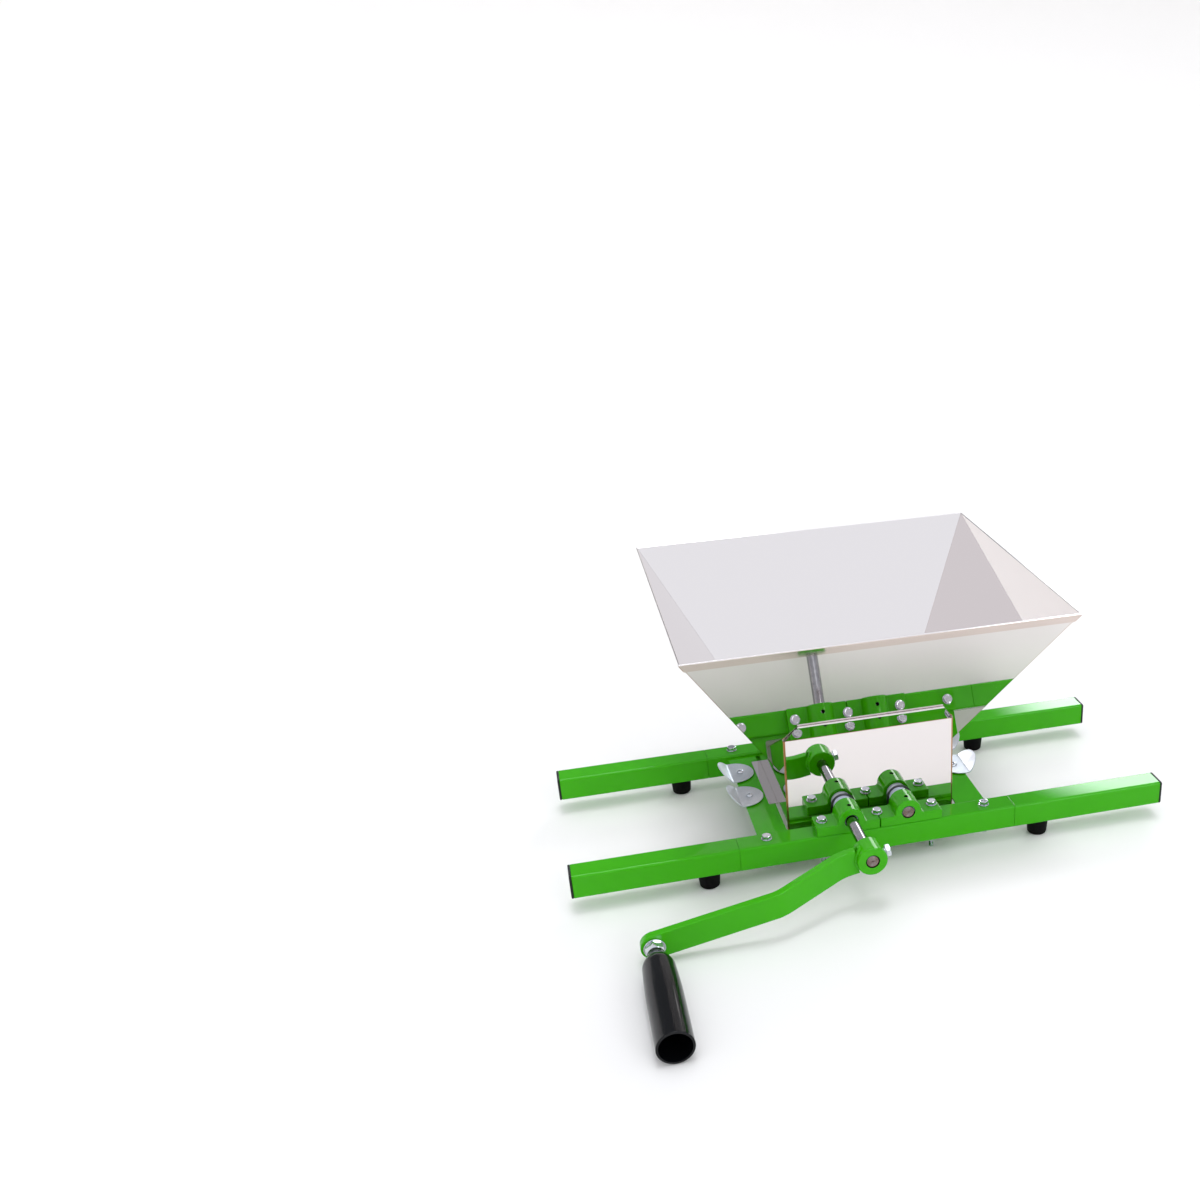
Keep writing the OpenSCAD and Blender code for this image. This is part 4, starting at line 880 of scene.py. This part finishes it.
def bent(corners, radii, thickness):
    """The closed section of a bent sheet, and for each of its points the number of the bend it
    lies on, or 0. The middle line follows corners, with an arc of each radius at each inner
    corner, and both faces lie half a thickness from it. A point beside each arc ends the bend"""
    corners = np.asarray(corners, float)
    along = np.diff(corners, axis=0)
    length = np.linalg.norm(along, axis=1)
    along /= length[:, None]
    across = np.stack([-along[:, 1], along[:, 0]], 1)
    turns = np.arctan2(along[:-1, 0] * along[1:, 1] - along[:-1, 1] * along[1:, 0], (along[:-1] * along[1:]).sum(1))
    reach = np.concatenate([[0], np.array(radii) * np.tan(np.abs(turns) / 2), [0]])
    beside = np.minimum(0.35 * mm, (length - reach[:-1] - reach[1:]) / 3)
    line, facing, bend = [corners[:1]], [across[:1]], [[0]]
    for k, (corner, turn, radius) in enumerate(zip(corners[1:-1], turns, radii)):
        side = math.copysign(1, turn)
        start = math.atan2(along[k][0], -along[k][1])
        angle = start + turn * np.linspace(0, 1, bend_steps + 1)
        normal = np.stack([np.cos(angle), np.sin(angle)], 1)
        bisector = np.array([math.cos(start + turn / 2), math.sin(start + turn / 2)])
        on_arc = corner + side * radius / math.cos(turn / 2) * bisector - side * radius * normal
        line += [on_arc[:1] - beside[k] * along[k], on_arc, on_arc[-1:] + beside[k + 1] * along[k + 1]]
        facing += [normal[:1], normal, normal[-1:]]
        bend.append([0] + [k + 1] * (bend_steps + 1) + [0])
    line, facing = np.concatenate(line + [corners[-1:]]), np.concatenate(facing + [across[-1:]])
    bend = np.concatenate(bend + [[0]])
    both = np.concatenate([line + facing * thickness / 2, (line - facing * thickness / 2)[::-1]])
    return both, np.concatenate([bend, bend[::-1]])


def panel(duct, rim, near_duct, far_duct, near_rim, far_rim):
    """One wall and its fold marks. The section is drawn in distances outwards and heights, and
    each of its points is carried between the mitre planes at its own distance. The bend, the
    hem's outside and the outer edges of the mitres are marked"""
    fold = np.array([rim - duct_wall, fold_z])
    lean = math.atan2(fold[0] - duct, fold[1] - duct_top)
    up, out = np.array([math.sin(lean), math.cos(lean)]), np.array([math.cos(lean), -math.sin(lean)])
    inner = hem_gap + sheet / 2
    hem_r = inner * hem_round_share
    corners = [
        (duct - inner, duct_bottom),
        (duct - inner, duct_top + inner * math.tan(lean / 2)),
        fold - inner * out + inner * up,
        fold + inner * out + inner * up,
        fold + inner * out - hem_width * up,
    ]
    section, bend = bent(corners, (duct_bend, hem_r, hem_r), sheet)
    share = (section[:, 0] - duct) / (rim - duct_wall - duct)
    near = near_duct + (near_rim - near_duct) * share + mitre_gap
    far = far_duct + (far_rim - far_duct) * share - mitre_gap
    ends = (near, near + mitre_mark, far - mitre_mark, far)
    place = np.arange(len(section))
    hem = place > len(section) // 2 - bend_steps // 2 - 2
    hem_outside = hem & (place < len(section) // 2)
    # The marks carry the brown painted reflection of the bend and the hem, and the weld tint at the mitres
    mark = np.where(bend == 1, 1.0, np.where(hem_outside, hem_reflection_share, 0))
    marks = np.stack([np.where(hem, 1.0, mark), mark, mark, np.where(hem, 1.0, mark)])
    return (np.stack([np.stack([section[:, 0], end, section[:, 1]], 1) for end in ends]), False), marks


low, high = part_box("hopper_front")
rim_top = high.z
fold_z = rim_top - duct_wall
duct_bottom = low.z
rim_half = high.x
rim_y = (low.y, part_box("hopper_rear")[1].y)
duct_half = guard_high.x
duct_y = (guard_face + duct_front_gap, rear_low.y - duct_rear_gap)
slope_x = (duct_half, rim_half - duct_wall)
front_panel, front_marks = panel(-duct_y[0], -rim_y[0], -slope_x[0], slope_x[0], -slope_x[1], slope_x[1])
rear_panel, rear_marks = panel(duct_y[1], rim_y[1], -slope_x[0], slope_x[0], -slope_x[1], slope_x[1])
side_panel, side_marks = panel(duct_half, rim_half, duct_y[0], duct_y[1], rim_y[0] + duct_wall, rim_y[1] - duct_wall)


def notches(radius, y):
    """Cutters for the slots that clear both shafts in a wall at y, open below and round above"""
    angle = np.radians(np.linspace(0, 180, 25))
    round_top = np.stack([radius * np.cos(angle), radius * np.sin(angle)], 1)
    outline = np.concatenate([round_top, [(-radius, -notch_depth), (radius, -notch_depth)]])
    return [
        (np.stack([np.stack([x + outline[:, 0], np.full(len(outline), end), axis_z + outline[:, 1]], 1)
                   for end in (y - notch_reach, y + notch_reach)]), False)
        for x in (-shaft_x, shaft_x)
    ]


for name, shell, marks, y, outwards in (("hopper_front", front_panel, front_marks, duct_y[0], -1),
                                        ("hopper_rear", rear_panel, rear_marks, duct_y[1], 1)):
    made = build(name + "_finish", [put(shell, (0, 0, 0), (0, outwards, 0), (1, 0, 0))],
                 polished, "frame", folds=[marks])
    cut(made, *notches(notch_r, y))
flange_middle = (duct_y[0] + duct_y[1]) / 2 + flange_shift
flange_outline = rounded(square(flange_wide, 2 * flange_half), flange_corner)
flange = soft_plate(flange_outline, 0, duct_wall, flange_edge, 2)
for name, side in (("hopper_left", -1), ("hopper_right", 1)):
    at = (side * (duct_half + flange_wide / 2), flange_middle, plate_top)
    build(name + "_finish", [put(side_panel, (0, 0, 0), (side, 0, 0), (0, 1, 0)), put(flange, at)],
          polished, "frame", folds=[side_marks, np.zeros(flange[0].shape[:2])])


# The gear guard: the same sheet, bent to a shallow box that covers the gears. Its sides follow
# the hopper's slope, its top is bent up against it, and its notches let the bushes through.
guard_bend = 1.6 * mm
guard_bend_drop = 3 * mm
guard_gap = 0.3 * mm
strip_gap = 0.6 * mm
corner_strip = 2.6 * mm
corner_cut = 16 * mm
lip_width = 4 * mm
notch_guard_r = 15.5 * mm
flange_top = guard_high.z
slope_run = (rim_y[0] + duct_wall - duct_y[0]) / (fold_z - duct_top)


def slope_y(z):
    """The hopper's front slope at a height: a straight line from the duct's bend to the fold"""
    return duct_y[0] + slope_run * (z - duct_top)


bend_z = duct_top + (guard_face + duct_wall - duct_y[0]) / slope_run - guard_bend_drop
face_y = guard_face + duct_wall / 2
top_y = slope_y(flange_top) - duct_wall / 2
rise = np.array([top_y - face_y, flange_top - bend_z])
rise /= np.linalg.norm(rise)
forward = np.array([-rise[1], rise[0]])
double = duct_wall + hem_gap
lip_top = np.array([top_y, flange_top]) - duct_wall / 2 * rise
lip_front = lip_top + double * forward
corners = [(face_y, duct_bottom), (face_y, bend_z), lip_top, lip_front, lip_front - lip_width * rise]
section, bend = bent(corners, (guard_bend, 0.49 * double, 0.49 * double), duct_wall)
cut_share = np.clip((section[:, 1] - bend_z) / (flange_top - bend_z), 0, 1)
half = duct_half - corner_strip - (corner_cut - corner_strip) * cut_share
face = np.stack([np.stack([side * half, section[:, 0], section[:, 1]], 1) for side in (-1, 1)]), False
# The guard's bends are marked for the brown painted reflection
face_marks = np.tile(bend == 1, (2, 1)).astype(float)
strips, strip_marks = [], []
for side in (-1, 1):
    rows = []
    for z in (duct_bottom, duct_top, bend_z - strip_gap):
        back_y = min(duct_y[0], slope_y(z)) - guard_gap
        wall_x = duct_half - duct_wall / 2
        corners = [(duct_half - corner_strip, face_y), (wall_x, face_y), (wall_x, max(back_y, face_y + corner_strip))]
        strip, bend = bent(corners, (guard_bend,), duct_wall)
        rows.append(np.stack([side * strip[:, 0], strip[:, 1], np.full(len(strip), z)], 1))
    strips.append((np.stack(rows), False))
    strip_marks.append(np.tile(bend == 1, (3, 1)).astype(float))
build("gear_guard_sides_finish", strips, polished, "frame", ["gear_guard"], folds=strip_marks)
made = build("gear_guard_face_finish", [face], polished, "frame", ["gear_guard"],
             folds=[face_marks])
cut(made, *notches(notch_guard_r, guard_face))


# The clamps: discs pressed from zinc plated sheet, each with a thumb tab bent up. Each turns on a
# button head screw and a spacer, and holds the hopper's flange down with its edge.
disc_r = 25.5 * mm
disc_offset = 8.5 * mm
disc_thick = 1.5 * mm
disc_edge = 0.35 * mm
disc_rings = 48
screw_hole = 2.56 * mm
tab_bend = 2.2 * mm
tab_angle = math.radians(45)
tab_start = 14 * mm - tab_bend * math.tan(tab_angle / 2)
# Zinc on pressed sheet: duller and greyer than on the bolts, with fine specks
speck_width = 1.1 * mm
dull_cloud = 16 * mm
pressed, tree, skin = start_material("dull_zinc_plate")
where = add(tree, "ShaderNodeTexCoord").outputs["Object"]
speck = add(tree, "ShaderNodeTexNoise",
            {"Vector": where, "Scale": 1 / speck_width, "Detail": 5.0, "Roughness": 0.7})
cloud = add(tree, "ShaderNodeTexNoise", {"Vector": where, "Scale": 1 / dull_cloud, "Detail": 3.0})
tint = add(tree, "ShaderNodeMix", {0: speck.outputs["Fac"], 6: linear("#A4ABB2"), 7: linear("#E4E9EE")},
           data_type="RGBA")
dull = add(tree, "ShaderNodeMapRange",
           {"Value": cloud.outputs["Fac"], "From Min": 0.3, "From Max": 0.7, "To Min": 0.3, "To Max": 0.46})
bumps = add(tree, "ShaderNodeBump", {"Height": speck.outputs["Fac"], "Strength": 0.3, "Distance": 0.05 * mm})
feed(tree, skin, {
    "Base Color": tint.outputs[2], "Roughness": dull.outputs["Result"], "Normal": bumps.outputs["Normal"],
    "Metallic": 1.0,
})


def bent_up(flat_x, height):
    """Carries a point of the flat disc round the bend: past its start it turns about the bend's
    axis, tab_bend above the sheet's middle, and past the tab's angle it runs on straight"""
    past = np.maximum(flat_x - tab_start, 0)
    angle = np.minimum(past / tab_bend, tab_angle)
    straight = np.maximum(past - tab_bend * tab_angle, 0)
    x = np.minimum(flat_x, tab_start) + (tab_bend - height) * np.sin(angle) + straight * np.cos(angle)
    z = tab_bend - (tab_bend - height) * np.cos(angle) + straight * np.sin(angle)
    return x, z


def clamp_disc():
    """A polar grid round the screw's hole, out over the top, round the edge and back below, then
    bent. The screw is off the disc's middle, so in direction a the rim lies at
    offset cos a + sqrt(radius^2 - (offset sin a)^2)"""
    angle = np.linspace(0, 2 * math.pi, 144, endpoint=False)[None]
    rim = disc_offset * np.cos(angle) + np.sqrt(disc_r ** 2 - (disc_offset * np.sin(angle)) ** 2)
    flat = screw_hole + (rim - disc_edge - screw_hole) * np.linspace(0, 1, disc_rings)[:, None]
    radius = np.concatenate([flat, rim, rim, flat[::-1]])
    half = disc_thick / 2
    face = np.full(disc_rings, half)
    level = np.concatenate([face, [half - disc_edge, disc_edge - half], -face])[:, None]
    x, z = bent_up(radius * np.cos(angle), level + 0 * angle)
    return np.stack([x, radius * np.sin(angle), z], 2), True


clamp_places = []
for row in ("front", "rear"):
    for hand, side in (("left", -1), ("right", 1)):
        name = f"clamp_disc_{row}_{hand}"
        low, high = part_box(name)
        near = disc_r - disc_offset
        screw_x = low.x + near if side > 0 else high.x - near
        at = (screw_x, (low.y + high.y) / 2, low.z + disc_thick / 2)
        clamp_places.append(at[:2])
        build(name + "_finish", [put(clamp_disc(), at, (side, 0, 0), (0, side, 0))],
              pressed, f"clamp_{row}_{hand}")

button_r = 4.75 * mm
button_height = 2.75 * mm
button_edge = 0.3 * mm
socket_flats = 3 * mm
socket_depth = 1.6 * mm
socket_edge = 0.1 * mm
screw_r = 2.5 * mm
half_play = 0.075 * mm
seat_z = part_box("clamp_disc_front_left")[0].z + disc_thick + half_play
screw_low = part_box("clamp_screws")[0].z
dome = [(button_r * math.cos(a), seat_z + button_height * math.sin(a)) for a in np.radians(np.linspace(8, 58, 7))]
dome_top = dome[-1][1]
socket = hexagon(socket_flats)
screw_rows = [(0.7 * screw_r, screw_low), (screw_r, screw_low + 0.3 * screw_r), (screw_r, seat_z)]
screw_rows += [(button_r - button_edge, seat_z)] + dome + [(1.08 * socket, dome_top + socket_edge)]
screw_rows += [(socket, dome_top - socket_edge), (socket, dome_top - socket_depth)]
screws = [put((hex_rows(screw_rows), False), (x, y, 0)) for x, y in clamp_places]
build("clamp_screws_finish", varied(screws, 7), zinc, "frame", sharp=28)
give(("clamp_spacers", "clamp_nuts", "foot_screws"), zinc)


# The crank: a turned hub on the drive shaft, a flat bar with a forward bend that is welded to
# it, and a set screw opposite the bar. Hub and bar are coated together, weld bead and all.
hub_r = 17.5 * mm
hub_length = 26 * mm
hub_chamfer = 1.2 * mm
mouth_r = 8 * mm
mouth_depth = 1.5 * mm
mouth_edge = 0.3 * mm
bore_r = shaft_r + 0.05 * mm
bare_play = 0.06 * mm
bare_edge = 0.02 * mm
crank_r = 255 * mm
bar_width = 30 * mm
bar_thick = 10 * mm
bar_corner = 1.3 * mm
bar_root = 1.5 * mm
bar_tip_edge = 0.5 * mm
bar_joggle = 35 * mm
# The bar is drawn in fine steps over this span, with the middles and half lengths of its bends
fine_span = (24 * mm, 118 * mm)
bend_middles = (35 * mm, 113 * mm)
bend_halves = (9 * mm, 10 * mm)
hub_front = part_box("crank_hub")[0].y
hub_middle = hub_front + hub_length / 2
grip_low, grip_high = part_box("handle_grip")
rest = math.asin((axis_z - (grip_low.z + grip_high.z) / 2) / crank_r)
bar_out = (-math.cos(rest), 0, -math.sin(rest))
bar_up = (-math.sin(rest), 0, math.cos(rest))
hub_profile = [
    (mouth_r, mouth_depth), (mouth_r, mouth_edge), (mouth_r + mouth_edge, 0), (hub_r - hub_chamfer, 0),
    (hub_r - 0.35 * hub_chamfer, 0.35 * hub_chamfer), (hub_r, hub_chamfer), (hub_r, hub_length - hub_chamfer),
    (hub_r - 0.35 * hub_chamfer, hub_length - 0.35 * hub_chamfer), (hub_r - hub_chamfer, hub_length),
    (bore_r, hub_length), (bore_r, mouth_depth),
]
made = build("crank_hub_finish", [laid(turned(hub_profile, ring=True), -shaft_x, hub_front)],
             green_coat, "crank_and_drive_roller")
# The hub's mouth, a bare ring round the shaft, gets the near-black hole material: painted shade in the gap
bare = hollow(shaft_r + bare_play, mouth_r + ream_skin, -1 * mm, mouth_depth + ream_skin, bare_edge)
cut(made, laid(bare, -shaft_x, hub_front), inside=oily_hole_shade)


def swing(u):
    """How far the bar's middle lies in front of the hub's middle: a straight ramp between the two
    bends. Each bend adds a slope with a parabola (u + half)^2 / (4 half) across its own length"""
    ramps = []
    for middle, half in zip(bend_middles, bend_halves):
        near = u - middle
        ramps.append(np.where(near > half, near, np.clip(near + half, 0, 2 * half) ** 2 / (4 * half)))
    return bar_joggle / (bend_middles[1] - bend_middles[0]) * (ramps[0] - ramps[1])


def bar_shell():
    """The bar's rounded section carried along its bend. At the outer end its width follows a
    half circle. Its own axes are out along the bar, forward, and up across its width"""
    half_width = bar_width / 2
    straight = np.concatenate([[hub_r - bar_root], np.linspace(*fine_span, 33), [crank_r]])
    tip = crank_r + half_width * np.sin(np.radians(np.linspace(6, 86, 15)))
    u = np.concatenate([straight, tip])
    width = np.where(u > crank_r, np.sqrt(np.maximum(half_width ** 2 - (u - crank_r) ** 2, 0)), half_width)
    points = rounded(square(bar_width, bar_thick), bar_corner, steps=4)[0]
    drawn = np.where(u > crank_r + half_width * math.sin(math.radians(80)), bar_tip_edge, 0)
    slope = np.gradient(swing(u), u)
    slope[-len(tip) - 1:] = 0
    slope[0] = 0
    across = (points[:, 0] / half_width)[None] * width[:, None]
    depth = points[:, 1][None] + 0 * across
    depth = depth - np.sign(depth) * drawn[:, None]
    lean = np.arctan(slope)[:, None]
    out = u[:, None] - depth * np.sin(lean)
    forward = swing(u)[:, None] + depth * np.cos(lean)
    return np.stack([out, forward, across], 2), False


bead_r = 2.3 * mm
bead_inset = 1 * mm
bead_corner = 3 * mm
bead_steps = 160
ripple_pitch = 1.9 * mm
sway_pitch = 17 * mm


def bead():
    """The weld: a round string along the bar's section where it meets the hub. Its radius has two
    sine waves, the ripples of the puddle and the slow sway of the hand"""
    points, outward = rounded(square(bar_width - bead_inset, bar_thick - bead_inset), bead_corner, steps=6)
    closed, turning = np.concatenate([points, points[:1]]), np.concatenate([outward, outward[:1]])
    length = np.concatenate([[0], np.cumsum(np.linalg.norm(np.diff(closed, axis=0), axis=1))])
    even = np.linspace(0, length[-1], bead_steps, endpoint=False)
    across, depth, out_x, out_y = (np.interp(even, length, values)[:, None] for values in (*closed.T, *turning.T))
    ripple = 0.07 * np.sin(2 * math.pi * even / ripple_pitch) + 0.1 * np.sin(2 * math.pi * even / sway_pitch + 1)
    string_r = (bead_r * (1 + ripple))[:, None]
    angle = np.linspace(0, 2 * math.pi, 14, endpoint=False)[None]
    outwards = string_r * np.cos(angle)
    along = string_r * np.sin(angle)
    return np.stack([
        np.sqrt(hub_r ** 2 - across ** 2) + along, depth + out_y * outwards, across + out_x * outwards,
    ], 2), True


hub_place = (-shaft_x, hub_middle, axis_z)
bar, weld = (put(shell, hub_place, bar_out, (0, -1, 0), bar_up) for shell in (bar_shell(), bead()))
build("crank_arm_finish", [bar, weld], green_coat, "crank_and_drive_roller", sharp=40)

set_r = 4 * mm
set_flats = 13.28 * mm
set_head = 5.36 * mm
set_thread = 7 * mm
set_seat = hub_r + 1 * mm
away = tuple(-c for c in bar_out)
set_screw = put(bolt(set_r, set_seat - shaft_r, set_flats, set_head, set_thread),
                (-shaft_x + set_seat * away[0], hub_middle, axis_z + set_seat * away[2]), (0, 1, 0), bar_up, away)
build("crank_set_screw_finish", [set_screw], pressed, "crank_and_drive_roller", sharp=25)


# The handle: a black polypropylene sleeve, hollow towards its open end, that spins on an M12
# bolt. A washer and a nut in front and a thin nut behind hold the bolt to the bar.
handle_r = 6 * mm
handle_flats = 19.92 * mm
handle_nut_height = 9.96 * mm
thin_nut_height = 6 * mm
handle_washer = 2.5 * mm
handle_washer_r = 12 * mm
handle_washer_edge = 0.4 * mm
handle_x = -shaft_x + crank_r * bar_out[0]
handle_z = axis_z + crank_r * bar_out[2]
bar_front = hub_middle - bar_joggle - bar_thick / 2


def on_handle(shell, y, sign=1):
    """A shell laid along the handle's axis, its own height pointing to the back or the front"""
    return put(shell, (handle_x, y, handle_z), bar_out, tuple(-sign * c for c in bar_up), (0, sign, 0))


washer_y = bar_front - handle_washer
ring = hollow(handle_r + nut_play, handle_washer_r, 0, handle_washer, handle_washer_edge)
build("handle_washer_finish", [on_handle(ring, washer_y)], zinc, "crank_and_drive_roller")
nut_places = ((handle_nut_height, washer_y - handle_nut_height), (thin_nut_height, bar_front + bar_thick))
nuts = [on_handle(nut(handle_r + nut_play, handle_flats, height), y) for height, y in nut_places]
build("handle_nuts_finish", nuts, zinc, "crank_and_drive_roller", sharp=25)

head_r = 9 * mm
head_long = 12 * mm
head_edge = 0.8 * mm
handle_socket = hexagon(10 * mm)
handle_socket_depth = 6 * mm
handle_socket_edge = 0.3 * mm
handle_pitch = 1.75 * mm
handle_groove = 0.8 * mm
handle_thread = 15 * mm
handle_point = 1 * mm
bolt_low, bolt_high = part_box("handle_bolt")
length = bolt_high.y - bolt_low.y
rows = [(handle_socket, handle_socket_depth), (handle_socket, handle_socket_edge), (1.06 * handle_socket, 0),
        (head_r - head_edge, 0), (head_r, head_edge), (head_r, head_long), (handle_r, head_long)]
rows += thread(handle_r, length - handle_thread, length - handle_point, handle_pitch, handle_groove)[::-1]
rows += [(0.75 * handle_r, length)]
build("handle_bolt_finish", [on_handle((hex_rows(rows), False), bolt_low.y)],
      zinc, "crank_and_drive_roller", sharp=25)

grip_end_r = 19.5 * mm
grip_neck_r = 10 * mm
grip_wall = 2.5 * mm
grip_flare = 26 * mm
grip_full = 80 * mm
grip_narrow = 44 * mm
flare_share = 0.905
grip_shoulder = 22 * mm
grip_bore = handle_r + 0.1 * mm
neck_edge = 1 * mm
socket_r = 10.5 * mm
end_round = 0.8 * mm
mouth_in = 0.2 * mm
mouth_down = 0.6 * mm
# Moulded polypropylene: black with a blue cast, glossy, with faint flow lines along the grip
flow_width = 2 * mm
flow_length = 30 * mm
grip_black, tree, skin = start_material("moulded_polypropylene")
where = add(tree, "ShaderNodeTexCoord").outputs["Object"]
flow = add(tree, "ShaderNodeMapping", {"Vector": where, "Scale": (1 / flow_width, 1 / flow_length, 1 / flow_width)})
streak = add(tree, "ShaderNodeTexNoise", {"Vector": flow.outputs[0], "Scale": 1.0, "Detail": 3.0})
bumps = add(tree, "ShaderNodeBump", {"Height": streak.outputs["Fac"], "Strength": 0.15, "Distance": 0.06 * mm})
dull = add(tree, "ShaderNodeMapRange",
           {"Value": streak.outputs["Fac"], "From Min": 0.3, "From Max": 0.7, "To Min": 0.12, "To Max": 0.22})
feed(tree, skin, {
    "Base Color": linear("#090A0D"), "Roughness": dull.outputs["Result"], "Normal": bumps.outputs["Normal"],
    "Specular IOR Level": 0.24,
})


def grip_r(s):
    """The grip's outside: a fast smooth swell over the flare, then the first quarter of a sine
    wave to the full radius, which it keeps to the open end"""
    t = np.clip(s / grip_flare, 0, 1)
    swell = grip_neck_r + (grip_end_r * flare_share - grip_neck_r) * t * t * (3 - 2 * t)
    past = np.clip((s - grip_flare) / (grip_full - grip_flare), 0, 1)
    return swell + grip_end_r * (1 - flare_share) * np.sin(past * math.pi / 2)


grip_length = grip_high.y - grip_low.y
outside_s = np.concatenate([np.linspace(neck_edge, grip_full, 50), [grip_length - end_round]])
outside = list(zip(grip_r(outside_s), outside_s))
inside_s = np.linspace(grip_full, grip_narrow, 8)
inside = list(zip(grip_r(inside_s) - grip_wall, inside_s)) + [(socket_r, grip_shoulder + head_long / 2)]
mouth = grip_end_r - grip_wall
profile = (
    [(grip_bore, 0), (grip_neck_r - neck_edge, 0)] + outside
    + arc(grip_end_r - end_round, grip_length - end_round, end_round, 0, 90, 4)
    + [(mouth, grip_length), (mouth - mouth_in, grip_length - mouth_down)]
    + inside + [(socket_r, grip_shoulder), (grip_bore, grip_shoulder)]
)
build("handle_grip_finish", [on_handle(turned(profile, ring=True, around=96), grip_high.y, -1)],
      grip_black, "grip")
